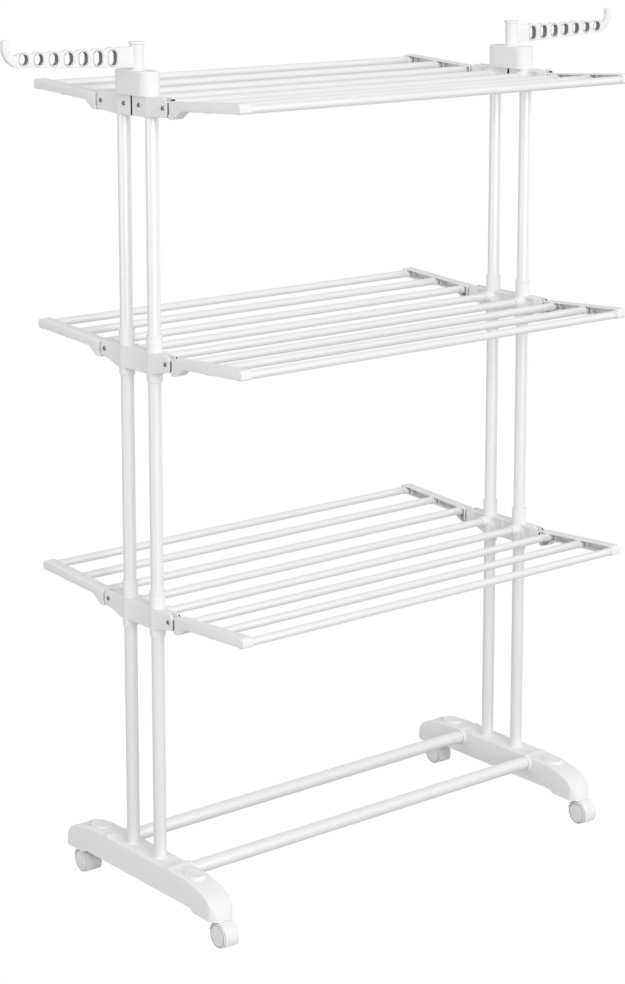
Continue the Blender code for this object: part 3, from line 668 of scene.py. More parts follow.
def screw_finish(base, groups):
    """Dark zinc screw: brushed by the driver, with brighter rubbed edges."""
    made, tree, shader, where = new_finish("screw_steel")
    cloud = use_group(tree, groups["mottle"], where, Scale=700.0, Low=0.0, High=1.0)
    body = tinted(tree, cloud, base, scaled_colour(base, 0.7))
    edges = use_group(tree, groups["wear"], where, Amount=1.0, Scale=900.0)
    tree.links.new(tinted(tree, edges, body, scaled_colour(base, 2.6)), shader.inputs["Base Color"])
    tree.links.new(use_group(tree, groups["mottle"], where, Scale=500.0, Low=0.28, High=0.46),
                   shader.inputs["Roughness"])
    height = use_group(tree, groups["grain"], where, Scale=2600.0, Waviness=0.3)
    bumped(tree, shader, height, 0.00004, 0.5)
    shader.inputs["Metallic"].default_value = 0.85
    return made


def painted_shade_finish(name, base, groups):
    """Painted shade for deep slots, grooves and hole walls: a matt dark colour, unevenly mottled, that stands
    in for the shade falling in them.
    """
    made, tree, shader, where = new_finish(name)
    cloud = use_group(tree, groups["mottle"], where, Scale=260.0, Low=0.0, High=1.0)
    tree.links.new(tinted(tree, cloud, base, scaled_colour(base, 1.3)), shader.inputs["Base Color"])
    tree.links.new(use_group(tree, groups["mottle"], where, Scale=400.0, Low=0.62, High=0.80),
                   shader.inputs["Roughness"])
    height = use_group(tree, groups["grain"], where, Scale=1500.0, Waviness=0.5)
    bumped(tree, shader, height, 0.00005, 0.4)
    shader.inputs["Specular IOR Level"].default_value = 0.2
    return made


def floor_finish(base, groups):
    """Pale matt floor, lit up to plain white where it is seen directly."""
    made, tree, shader, where = new_finish("studio_floor")
    cloud = use_group(tree, groups["mottle"], where, Scale=1.5, Low=0.0, High=1.0)
    tree.links.new(tinted(tree, cloud, base, scaled_colour(base, 0.98)), shader.inputs["Base Color"])
    patches = use_group(tree, groups["mottle"], where, Scale=3.0, Low=0.80, High=0.92)
    tree.links.new(patches, shader.inputs["Roughness"])
    shader.inputs["Specular IOR Level"].default_value = 0.2
    lit = node(tree, "ShaderNodeEmission")
    path = node(tree, "ShaderNodeLightPath")
    mix = node(tree, "ShaderNodeMixShader")
    tree.links.new(path.outputs["Is Camera Ray"], mix.inputs[0])
    tree.links.new(shader.outputs[0], mix.inputs[1])
    tree.links.new(lit.outputs[0], mix.inputs[2])
    tree.links.new(mix.outputs[0], tree.nodes["Material Output"].inputs["Surface"])
    return made


def make_finishes(look):
    groups = {"mottle": mottle_group(), "grain": grain_group(), "wear": wear_group(), "scuff": scuff_group()}
    plastic_finish("white_plastic", tuple(look.plastic), look.plastic_rough, groups)
    plastic_finish("wheel_plastic", tuple(look.wheel), look.plastic_rough + 0.05, groups, grain=1300.0)
    tube_finish(tuple(look.tube), look.tube_rough, groups)
    screw_finish(tuple(look.screw), groups)
    # Two painted shades: dark and grey colours put on the faces of slots, grooves, hole walls and block ends
    # to stand in for their shade.
    painted_shade_finish("dark_recess", tuple(look.recess), groups)
    painted_shade_finish("grey_crease", tuple(look.crease), groups)
    floor_finish(tuple(look.floor), groups)


# ---- Pieces ----
def piece(name, mesh, finish, stands_for=(), body=None, place=(0, 0, 0), turn=None, sharp=32, edge=0.0):
    """Puts a mesh in the scene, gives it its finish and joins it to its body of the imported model."""
    made = bpy.data.objects.new(name, mesh)
    bpy.context.scene.collection.objects.link(made)
    if mesh.materials:
        mesh.materials[0] = bpy.data.materials[finish]
    else:
        mesh.materials.append(bpy.data.materials[finish])
    mesh.shade_smooth()
    mesh.set_sharp_from_angle(angle=radians(sharp))
    made.location = place
    if turn:
        made.rotation_euler = turn
    if edge:
        soft = made.modifiers.new("edges", "BEVEL")
        soft.width = edge
        soft.segments = 2
        soft.limit_method = "ANGLE"
        soft.angle_limit = radians(sharp)
        soft.harden_normals = True
    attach(made, body or frame["nodes"][stands_for[0]]["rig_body"])
    if stands_for:
        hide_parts(*stands_for)
    return made


def tube_mesh(radius, wall, half, end_round, necks=(), neck_drop=0.0, neck_half=0.0, facets=FACETS):
    """A hollow tube along local Z, narrower at its necks, with rounded ends."""
    outside = arc((radius - end_round, -half + end_round), end_round, -90, 0, 3)
    for neck in necks:
        low = neck - neck_half
        high = neck + neck_half
        outside += [(radius, low), (radius - neck_drop, low + neck_drop)]
        outside += [(radius - neck_drop, high - neck_drop), (radius, high)]
    outside += arc((radius - end_round, half - end_round), end_round, 0, 90, 3)
    inside = [(radius - wall, half - end_round), (radius - wall, -half + end_round)]
    return turned(outside + inside, facets=facets)


class RACK_OT_rods(bpy.types.Operator):
    """Drying rods: the fixed centre ones and those of the wings"""
    bl_idname = "rack.rods"
    bl_label = "Drying Rods"

    def execute(self, context):
        tubes = context.scene.rack_tubes
        names = [f"{tier}_centre_rod_{where}" for tier in TIERS for where, _ in DEPTHS]
        wings = [f"{tier}_{where}" for tier in TIERS for where, _ in DEPTHS]
        names += [f"{wing}_rod_{k + 1}" for wing in wings for k in range(WING_RODS)]
        meshes = {}
        for name in names:
            low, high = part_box(name)
            half = round((high.x - low.x) / 2, 5)
            if half not in meshes:
                meshes[half] = tube_mesh(ROD_R, tubes.rod_wall, half, tubes.end_round, facets=FINE + 8)
            along_x = (0, pi / 2, 0)
            piece(f"{name}_tube", meshes[half], "white_tube", (name,), place=middle(name), turn=along_x)
        return {"FINISHED"}


class RACK_OT_posts(bpy.types.Operator):
    """Posts: lengths of tube joined inside the brackets' collars"""
    bl_idname = "rack.posts"
    bl_label = "Posts"

    def execute(self, context):
        tubes = context.scene.rack_tubes
        half = (POST_HIGH - POST_LOW) / 2
        centre = (POST_HIGH + POST_LOW) / 2
        necks = [TIER_Z[tier] - centre for tier in ("lower", "middle")]
        shape = tube_mesh(
            POST_R, tubes.post_wall, half, tubes.end_round, necks, tubes.neck_drop, tubes.neck_half,
        )
        for end, _ in ENDS:
            for where, _ in DEPTHS:
                name = f"post_{where}_{end}"
                piece(f"{name}_tube", shape, "white_tube", (name,), place=middle(name))
        return {"FINISHED"}


class RACK_OT_base_tubes(bpy.types.Operator):
    """The two base tubes between the feet"""
    bl_idname = "rack.base_tubes"
    bl_label = "Base Tubes"

    def execute(self, context):
        tubes = context.scene.rack_tubes
        low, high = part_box("base_tube_back")
        shape = tube_mesh(TUBE_R, tubes.post_wall, (high.x - low.x) / 2, tubes.end_round)
        for where, _ in DEPTHS:
            name = f"base_tube_{where}"
            piece(f"{name}_tube", shape, "white_tube", (name,), place=middle(name), turn=(0, pi / 2, 0))
        return {"FINISHED"}


# ---- Feet ----
def foot_top(base, y):
    """Height of the foot's top surface at a place along its length."""
    reach = max(0.0, (abs(y) - base.arch_start) / (FOOT_HALF - base.arch_start))
    drop = (1 - min(reach, 1.0) ** 2.4) ** (1 / 2.4)
    return FOOT_END_Z + (base.body_z + base.rise - FOOT_END_Z) * drop


def foot_under(base, y):
    """Height of the foot's underside, which steps down to its ends."""
    t = (abs(y) - FOOT_HALF + base.step_out) / (base.step_out - base.step_in)
    t = min(max(t, 0.0), 1.0)
    return blend(base.body_z, FOOT_END_Z, t)


def foot_section(base, y):
    """The foot's outline across its length, as points in 3D."""
    into_end = max(0.0, abs(y) - (FOOT_HALF - base.plan_radius)) / base.plan_radius
    half = FOOT_OUT - base.plan_radius * (1 - (1 - min(into_end, 1.0) ** 2) ** 0.5)
    top = foot_top(base, y)
    low = foot_under(base, y)
    radius = min(blend(base.edge, half, into_end ** 2), 0.98 * half, 0.9 * max(top - low, 0.0008))
    points = [(half, low)] + arc((half - radius, top - radius), radius, 0, 90, 7)
    flat = half - radius
    deep = min(0.0009, 0.2 * flat)
    reach = min(flat, 0.012)
    groove = [(0.10 * reach, 0), (0.16 * reach, deep), (1.0 * reach * 0.9, deep)]
    points += [(flat - in_by, top - drop) for in_by, drop in groove]
    points += [(in_by - flat, top - drop) for in_by, drop in reversed(groove)]
    points += arc((-half + radius, top - radius), radius, 90, 180, 7) + [(-half, low)]
    return [(x, y, z) for x, z in points]


def foot_stations(base):
    """Places along the foot: close together where it curves."""
    half = [0.0, 0.04, 0.08, base.arch_start]
    span = FOOT_HALF - base.arch_start
    half += [base.arch_start + span * sin(pi / 2 * k / 26) for k in range(1, 26)]
    half += [FOOT_HALF - 0.0004, FOOT_HALF - base.step_in, FOOT_HALF - base.step_out]
    half = sorted(set(round(y, 6) for y in half))
    return [-y for y in reversed(half[1:])] + half


def pad_mesh(base, side):
    """A raised oval pad with a rounded rim and a shallow dish."""
    top = foot_top(base, base.pad_y) + base.pad_rise
    rings = []
    side_steps = [(0, 0.012), (0, 0.0012), (0.0004, 0.0005), (0.0012, 0)]
    dish_steps = [(0.0030, 0), (0.0038, 0.0005)]
    for inset, drop in side_steps + dish_steps:
        wide = base.pad_width / 2 - inset
        outline = rounded_rectangle(wide, base.pad_length / 2 - inset, wide - GAP, 10)
        rings.append([(x, side * base.pad_y + y, top - drop) for x, y in outline])
    return stacked(rings)


def foot_mesh(base):
    body = stacked([foot_section(base, y) for y in foot_stations(base)])
    top = base.body_z + base.rise
    added = []
    for side in (-1, 1):
        added.append(pad_mesh(base, side))
        tube = (0, side * TUBE.y, TUBE.z)
        rim = TUBE_R + base.tube_rim
        inner = -FOOT_OUT - base.rim_out
        added.append(cylinder(rim, inner, FOOT_OUT - GAP, "X", tube, edge=0.0012))
        ring = POST_R + base.post_rim
        added.append(cylinder(ring, top - BITE, top + 0.0012, "Z", (0, side * POST_Y, 0), edge=0.0008))
    body = joined(body, *added)

    inside = FOOT_OUT - base.wall
    post_edge = POST_R + GAP + base.wall
    tube_edge = TUBE_R + GAP + base.wall
    spans = [(-POST_Y + post_edge, -0.0012), (0.0012, POST_Y - post_edge)]
    for side in (-1, 1):
        stops = (POST_Y + post_edge, TUBE.y - tube_edge, TUBE.y + tube_edge, base.pad_y, STEM_Y - 0.026)
        gaps = [(stops[0], stops[1]), (stops[2], stops[3] - 0.001), (stops[3] + 0.001, stops[4])]
        spans += [tuple(sorted((side * a, side * b))) for a, b in gaps]
    cuts = []
    for low, high in spans:
        roof = min(foot_top(base, low), foot_top(base, high)) - 0.0055
        cuts.append(box((-inside, low, 0), (inside, high, roof)))
    for side in (-1, 1):
        cuts.append(cylinder(POST_R + GAP, POST_LOW - GAP, 0.3, "Z", (0, side * POST_Y, 0)))
        tube = (0, side * TUBE.y, TUBE.z)
        socket_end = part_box("base_tube_back")[1].x - POST_X + GAP
        cuts.append(cylinder(TUBE_R + GAP, -THROUGH, socket_end, "X", tube))
        stem_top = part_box("caster_housing_back_right")[1].z + GAP
        cuts.append(cylinder(base.stem / 2 + GAP, 0, stem_top, "Z", (0, side * STEM_Y, 0), FINE))
    return cut(body, *cuts)


class RACK_OT_feet(bpy.types.Operator):
    """The two moulded feet"""
    bl_idname = "rack.feet"
    bl_label = "Feet"

    def execute(self, context):
        shape = foot_mesh(context.scene.rack_base)
        for end, side in ENDS:
            name = f"foot_{end}"
            spot = (side * POST_X, 0, 0)
            piece(f"{name}_moulding", mirrored(shape, side), "white_plastic", (name,), place=spot)
        return {"FINISHED"}


# ---- Casters ----
def wheels_mesh(base):
    """A caster's two wheels on one axle along X, each with a fine ring groove near the rim of its outer face.
    """
    half = WHEEL_HALF
    inner = base.wheel_gap / 2
    rim = WHEEL_R / cos(pi / 64)
    right = [(0.0029, inner), (0.0160, inner), (0.0165, inner + 0.0012)]
    right += [(0.0205, inner + 0.0012), (0.0212, inner)]
    right += arc((rim - 0.0008, inner + 0.0008), 0.0008, -90, 0, 3)
    right += arc((rim - 0.0022, half - 0.0022), 0.0022, 0, 90, 5)
    right += [(0.0210, half), (0.0208, half - 0.0014), (0.0201, half - 0.0014), (0.0198, half)]
    right += [(0.0150, half + 0.0002), (0.0, half + 0.0003)]
    profile = [(r, -h) for r, h in reversed(right)] + right
    shape = turned(profile, "X", facets=64, turn=0.5)

    # Painted shade: the fine ring groove near each outer rim gets the grey colour, standing in for the shade
    # in the groove.
    def in_painted_shade_ring(centre, normal):
        return half - 0.0015 < abs(centre.x) < half - 0.0001 and 0.0197 < hypot(centre.y, centre.z) < 0.0211
    return marked(shape, in_painted_shade_ring, "grey_crease")


def hood_mesh(base):
    """The swivel housing: hood over the wheels, middle plate and stem. The stem's axis is x = y = 0."""
    axle = (-TRAIL, WHEEL_R)
    inner = WHEEL_R + base.hood_gap
    outer = inner + base.hood_wall
    half = WHEEL_HALF - 0.0010
    hood = arc(axle, outer, 12, 216, 40) + arc(axle, inner, 216, 12, 40)
    shell = prism(hood, -half, half, round_low=0.0006, round_high=0.0006, steps=2)
    plate = prism(arc(axle, inner + GAP, -20, 215, 36) + [(axle[0] - 0.002, axle[1] - 0.008)],
                  -0.0049, 0.0049, round_low=0.0005, round_high=0.0005, steps=2)
    stem_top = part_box("caster_housing_back_right")[1].z
    stem = cylinder(base.stem / 2, WHEEL_R + 0.006, stem_top, "Z", facets=FINE, edge=0.0008)
    body = joined(plate, shell, stem)
    return cut(body, cylinder(0.0033, -THROUGH, THROUGH, "X", (0, *axle), FINE))


class RACK_OT_casters(bpy.types.Operator):
    """Twin-wheel casters: hood and wheels at each corner"""
    bl_idname = "rack.casters"
    bl_label = "Casters"

    def execute(self, context):
        base = context.scene.rack_base
        hood = hood_mesh(base)
        wheels = wheels_mesh(base)
        for where, depth in DEPTHS:
            for end, side in ENDS:
                housing = f"caster_housing_{where}_{end}"
                spot = (side * POST_X, depth * STEM_Y, 0)
                piece(f"{housing}_hood", hood, "white_plastic", (housing,), place=spot)
                name = f"caster_wheels_{where}_{end}"
                axle = (side * POST_X, depth * STEM_Y - TRAIL, WHEEL_R)
                piece(f"{name}_pair", wheels, "wheel_plastic", (name,), place=axle)
        return {"FINISHED"}


# ---- Tier brackets ----
DOT_HALF = 0.0014              # half the side of a small hole over a lower hinge
DOT_LOW = 0.0092
DOT_HIGH = 0.0122
DOT_DEEP = 0.0075
SLOT_LOW = 0.0116              # the slot over a top hinge
SLOT_HIGH = 0.0146
SLOT_DEEP = 0.0090
NEAR = 0.0003                  # slack in telling which faces are in a slot


def block_outline(brackets, top, belly, end_drop):
    """One half of a block's side view, from its top out to its end and back underneath."""
    over = arc((BLOCK_END - brackets.corner, top - brackets.corner), brackets.corner, 90, 0, 9)
    start = POST_Y + COLLAR_R
    steps = 12
    for k in range(steps + 1):
        t = k / steps
        over.append((blend(BLOCK_END, start, t), -blend(end_drop, belly, t ** 1.6)))
    return over


def collar_profile(brackets, low, high, lip=True):
    """A collar round a post: tapered below, with a lip at its top."""
    r = COLLAR_R - brackets.collar_lip / 2
    taper = brackets.collar_taper
    profile = [(0, low), (r - 0.0012, low), (r - 0.0006, low + 0.0004), (r, low + taper)]
    if lip:
        out = r + brackets.collar_lip
        profile += [(r, high - 0.0036), (out, high - 0.0030), (out, high - 0.0006), (out - 0.0006, high)]
    else:
        profile += [(r, high)]
    return profile + [(0, high)]


def rod_socket(brackets, y):
    """Socket of a centre rod, flared where it leaves the block and with a ring at its mouth."""
    r = ROD_R + brackets.socket_wall
    mouth = -SOCKET_REACH
    profile = [(0, mouth), (r - 0.0004, mouth), (r + 0.0003, mouth + 0.0006), (r + 0.0003, mouth + 0.0036)]
    profile += [(r - 0.0006, mouth + 0.0044), (r - 0.0004, mouth + 0.0090)]
    profile += [(r + 0.0012, -brackets.block_in - 0.0014), (r + 0.0034, -brackets.block_in + 0.0004)]
    profile += [(r, 0.0), (0, 0.0)]
    return turned(profile, "X", (0, y, 0), FINE)


def rod_bore(y):
    return cylinder(ROD_R + GAP, -THROUGH, -POST_R - GAP - 0.0022, "X", (0, y, 0), FINE)


def tongue_middle(brackets):
    return BLOCK_OUT - brackets.cheek - GAP - brackets.tongue / 2


def clevis_cut(brackets, side):
    half = brackets.tongue / 2 + GAP
    mid = tongue_middle(brackets)
    inner = HINGE_Y - brackets.tongue_reach - 0.0015
    low, high = sorted((side * inner, side * (BLOCK_END + THROUGH)))
    return box((mid - half, low, -THROUGH), (mid + half, high, THROUGH))


def clevis_pin(brackets, side):
    half = brackets.tongue / 2 + GAP + BITE
    mid = tongue_middle(brackets)
    return cylinder(0.0030, mid - half, mid + half, "X", (0, side * HINGE_Y, -HINGE_DROP), FINE)


def screw_seat(brackets, y, z):
    """Shallow round seat in a block's outer face."""
    return cylinder(brackets.screw_seat, BLOCK_OUT - 0.0006, BLOCK_OUT + 0.01, "X", (0, y, z), FINE + 8)


def pocket(brackets, low_y, high_y, low_z, high_z):
    """A moulding pocket in a block's inner face."""
    outline = rounded_rectangle((high_y - low_y) / 2, (high_z - low_z) / 2, 0.0015, 3)
    face = -brackets.block_in
    made = prism(outline, face - 0.01, face + brackets.pocket_depth, round_high=0.0006, steps=2)
    return shifted(made, 0, (low_y + high_y) / 2, (low_z + high_z) / 2)


def tier_bracket_mesh(brackets):
    """Two collars, the block between and its two clevis ends."""
    half = block_outline(brackets, brackets.block_top, brackets.belly, brackets.end_drop)
    outline = half + [(-y, z) for y, z in reversed(half)]
    rounding = brackets.face_round
    body = prism(outline, -brackets.block_in, BLOCK_OUT, round_low=rounding, round_high=rounding)
    added = []
    for side in (-1, 1):
        collar = collar_profile(brackets, -COLLAR_HALF, COLLAR_HALF)
        added.append(turned(collar, "Z", (0, side * POST_Y, 0)))
        added.append(rod_socket(brackets, side * CENTRE_ROD_Y))
    body = joined(body, *added)
    cuts = []
    pins = []
    edge = CENTRE_ROD_Y - ROD_R - brackets.socket_wall - 0.0052
    cuts.append(pocket(brackets, -edge, -0.0010, -brackets.belly + 0.0040, brackets.block_top - 0.0040))
    cuts.append(pocket(brackets, 0.0010, edge, -brackets.belly + 0.0040, brackets.block_top - 0.0040))
    for side in (-1, 1):
        cuts.append(cylinder(POST_R + GAP, -THROUGH, THROUGH, "Z", (0, side * POST_Y, 0)))
        cuts.append(rod_bore(side * CENTRE_ROD_Y))
        cuts.append(clevis_cut(brackets, side))
        cuts.append(screw_seat(brackets, side * HINGE_Y, -HINGE_DROP))
        low, high = sorted((side * (POST_Y + COLLAR_R + 0.0030), side * (HINGE_Y - 0.0150)))
        cuts.append(pocket(brackets, low, high, -brackets.end_drop + 0.0010, brackets.block_top - 0.0040))
        pins.append(clevis_pin(brackets, side))
    shape = joined(cut(body, *cuts), *pins)
    dots = []
    for side in (-1, 1):
        y_low, y_high = sorted((side * (BLOCK_END - DOT_DEEP), side * (BLOCK_END + 0.01)))
        for x in brackets.dots:
            dots.append(box((x - DOT_HALF, y_low, DOT_LOW), (x + DOT_HALF, y_high, DOT_HIGH)))
    shape = cut(shape, *dots)

    # Painted shade: the walls and floors of the small holes over each hinge get the dark colour, standing in
    # for the shade inside them.
    def in_painted_shade_dot(centre, normal):
        return abs(centre.y) > BLOCK_END - DOT_DEEP - NEAR and square_on(normal) and (
            DOT_LOW - NEAR < centre.z < DOT_HIGH + NEAR)
    return paint_end_shade(marked(shape, in_painted_shade_dot, "dark_recess"))


def square_on(normal):
    """True for a face square to one of the axes."""
    return max(abs(normal.x), abs(normal.y), abs(normal.z)) > 0.995


def paint_end_shade(mesh):
    """Paints shade on the face at each end of a block, over its hinge: the white end face gets the grey
    colour of the shade that falls on it.
    """
    def on_shaded_end(centre, normal):
        return abs(centre.y) > BLOCK_END - 0.0006 and abs(normal.y) > 0.95
    return marked(mesh, on_shaded_end, "grey_crease")


def cover_mesh(brackets, low, high):
    """The cover over the posts' tops: rounded in plan, with a reveal line near its top and its base."""
    line = brackets.cover_line
    steps = [(0.0008, 0.0), (0.0, 0.0008), (0.0, 0.0030), (line, 0.0034), (line, 0.0040), (0.0, 0.0044)]
    height = high - low
    steps += [(0.0, height - 0.0060), (line, height - 0.0056)]
    steps += [(line, height - 0.0050), (0.0, height - 0.0046)]
    steps += [(0.0022 - x, height - 0.0022 + z) for x, z in arc((0, 0), 0.0022, 0, 90, 4)]
    steps += [(0.0042, height), (0.0048, height - 0.0004)]
    rings = []
    for inset, up in steps:
        outline = rounded_rectangle(
            brackets.cover_width / 2 - inset, brackets.cover_length / 2 - inset,
            brackets.cover_corner - inset, 10,
        )
        rings.append([(x, y, low + up) for x, y in outline])
    return stacked(rings)


def top_bracket_mesh(brackets, hangers):
    """Two blocks with a slot between them, the cover above and the pin of the hanger arm."""
    top = brackets.top_block + 0.0010
    half = block_outline(brackets, top, brackets.top_belly, brackets.top_belly - 0.0040)
    gap = brackets.top_gap / 2
    outline = [(gap, top)] + half + [(gap, -brackets.top_belly)]
    rounding = brackets.face_round
    back = prism(outline, -brackets.block_in, BLOCK_OUT, round_low=rounding, round_high=rounding)
    front = moved(back, Matrix.Scale(-1, 4, (0, 1, 0)))
    cover_low = brackets.top_block
    cover_high = COVER_TOP - TIER_Z["top"]
    added = [front, back]
    for side in (-1, 1):
        collar = collar_profile(brackets, -brackets.top_belly - 0.0007, cover_low + BITE, lip=False)
        added.append(turned(collar, "Z", (0, side * POST_Y, 0)))
        added.append(rod_socket(brackets, side * CENTRE_ROD_Y))
    disc = cover_high + hangers.disc
    added.append(cylinder(CAP_R, cover_high - BITE, disc, "Z", edge=0.0006))
    pin = hangers.sleeve / 2 - hangers.sleeve_wall - GAP
    pin_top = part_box("top_bracket_right")[1].z - TIER_Z["top"]
    added.append(cylinder(pin, cover_high - BITE / 2, pin_top, "Z"))
    body = joined(cover_mesh(brackets, cover_low, cover_high), *added)
    cuts = []
    pins = []
    for side in (-1, 1):
        cuts.append(cylinder(POST_R + GAP, -THROUGH, cover_low - 0.003, "Z", (0, side * POST_Y, 0)))
        cuts.append(rod_bore(side * CENTRE_ROD_Y))
        cuts.append(clevis_cut(brackets, side))
        cuts.append(screw_seat(brackets, side * HINGE_Y, -HINGE_DROP))
        cuts.append(screw_seat(brackets, side * 0.0240, -HINGE_DROP))
        low, high = sorted((side * (POST_Y + COLLAR_R + 0.0030), side * (HINGE_Y - 0.0150)))
        cuts.append(pocket(brackets, low, high, -brackets.top_belly + 0.0080, brackets.top_block - 0.0040))
        pins.append(clevis_pin(brackets, side))
    slots = []
    for side in (-1, 1):
        y_low, y_high = sorted((side * (BLOCK_END - SLOT_DEEP), side * (BLOCK_END + 0.01)))
        low = (-brackets.block_in + 0.0020, y_low, SLOT_LOW)
        slots.append(box(low, (BLOCK_OUT - 0.0016, y_high, SLOT_HIGH)))
    shape = paint_end_shade(cut(joined(cut(body, *cuts), *pins), *slots))

    # Painted shade: the walls of the slot over each top hinge get the dark colour, standing in for the deep
    # shade inside it.
    def in_painted_shade_bar(centre, normal):
        return abs(centre.y) > BLOCK_END - SLOT_DEEP - NEAR and square_on(normal) and (
            SLOT_LOW - NEAR < centre.z < SLOT_HIGH + NEAR)
    marked(shape, in_painted_shade_bar, "dark_recess")
    half_gap = brackets.top_gap / 2 + 0.0002

    # Painted shade: the facing walls of the slot between the two top blocks get the dark colour of the shade
    # between them.
    def in_painted_shade_slot(centre, normal):
        return abs(centre.y) < half_gap and abs(normal.y) > 0.9 and centre.z < cover_low + 0.0012
    return marked(shape, in_painted_shade_slot, "dark_recess")


class RACK_OT_brackets(bpy.types.Operator):
    """Brackets of the three tiers, with the covers of the top one"""
    bl_idname = "rack.brackets"
    bl_label = "Brackets"

    def execute(self, context):
        brackets = context.scene.rack_brackets
        plain = tier_bracket_mesh(brackets)
        covered = top_bracket_mesh(brackets, context.scene.rack_hangers)
        for tier in TIERS:
            for end, side in ENDS:
                name = f"{tier}_bracket_{end}"
                shape = mirrored(covered if tier == "top" else plain, side)
                spot = (side * POST_X, 0, TIER_Z[tier])
                piece(f"{name}_moulding", shape, "white_plastic", (name,), place=spot)
        return {"FINISHED"}


# ---- Screws ----
def screw_mesh():
    """A pan-head screw along X with a cross recess; its seat is x = 0."""
    head = [(0, -0.0030), (0.0014, -0.0030), (0.0014, 0), (0.0042, 0), (0.0045, 0.0005)]
    head += [(0.0043, 0.0014), (0.0035, 0.0022), (0.0020, 0.0027), (0, 0.0028)]
    body = turned(head, "X", facets=FINE)
    long = 0.0032
    thin = 0.0008
    first = box((0.0011, -long, -thin), (0.01, long, thin))
    second = box((0.0011, -thin, -long), (0.01, thin, long))
    shape = cut(body, joined(first, second))

    # Painted shade: the walls and floor of the cross recess get the dark colour, standing in for the shade
    # inside it.
    def in_painted_shade_cross(centre, normal):
        return 0.001 < centre.x and hypot(centre.y, centre.z) < 0.0033 and abs(normal.x) < 0.7 or (
            abs(centre.x - 0.0011) < 0.0001 and abs(normal.x) > 0.9)
    return marked(shape, in_painted_shade_cross, "dark_recess")


class RACK_OT_screws(bpy.types.Operator):
    """Hinge screws of every bracket, and the two that clamp each top bracket"""
    bl_idname = "rack.screws"
    bl_label = "Screws"

    def execute(self, context):
        shape = screw_mesh()
        for tier in TIERS:
            for end, side in ENDS:
                places = [-HINGE_Y, HINGE_Y]
                if tier == "top":
                    places += [-0.0240, 0.0240]
                for number, y in enumerate(places):
                    spot = (side * (POST_X + BLOCK_OUT - 0.0006), y, TIER_Z[tier] - HINGE_DROP)
                    turned_screw = moved(shape, Matrix.Rotation(0.6 + 1.1 * number, 4, "X"))
                    name = f"{tier}_screw_{end}_{number + 1}"
                    piece(name, mirrored(turned_screw, side), "screw_steel", body="frame", place=spot)
        return {"FINISHED"}


# ---- Wing arms ----
def end_reach(brackets):
    """Furthest that a block's rounded end comes from the hinge axis while the wing turns past it."""
    reach = 0.0
    for top in (brackets.block_top, brackets.top_block + 0.0010):
        out = BLOCK_END - HINGE_Y - brackets.corner
        up = top + HINGE_DROP - brackets.corner
        reach = max(reach, hypot(out, up) + brackets.corner, top + HINGE_DROP)
    return reach


def rod_out(arms, index):
    """Distance of a wing rod from the hinge axis, along the arm."""
    y = middle(f"lower_back_rod_{index + 1}").y
    line = HINGE_DROP + arms.rise
    return (y - HINGE_Y + line * sin(arms.tilt)) / cos(arms.tilt)


def arm_outline(arms, brackets, shrink=0.0):
    """The arm's side view about the hinge axis: +a outward, +b up, before the wing's tilt."""
    line = HINGE_DROP + arms.rise
    top = line + arms.above - shrink
    bottom = line - arms.below + shrink
    end_face = BLOCK_END - HINGE_Y
    start = end_reach(brackets) + 2 * GAP + shrink
    radius = arms.end_radius - shrink
    far = arms.length - shrink
    heel = radius * 0.45
    outline = [(start, top - arms.near_drop)]
    outline += arc((far - radius, top - radius), radius, 90, 0, 9)
    outline += arc((far - heel, bottom + heel), heel, 0, -90, 6)
    lobe = arms.lobe_depth - shrink
    steps = 12
    for k in range(steps + 1):
        t = k / steps
        a = blend(arms.lobe_length, end_face + arms.lobe_start + shrink, t)
        outline.append((a, blend(bottom, -lobe, (1 - cos(pi * t)) / 2)))
    stop = end_face + 2 * GAP + shrink
    stop = stop / cos(arms.tilt) + arms.lobe_depth * tan(arms.tilt)
    outline += [(stop + 0.0016, -lobe), (stop, -lobe + 0.0012), (stop, -arms.stop_top - shrink)]
    outline.append((start, -arms.stop_top - shrink))
    return outline


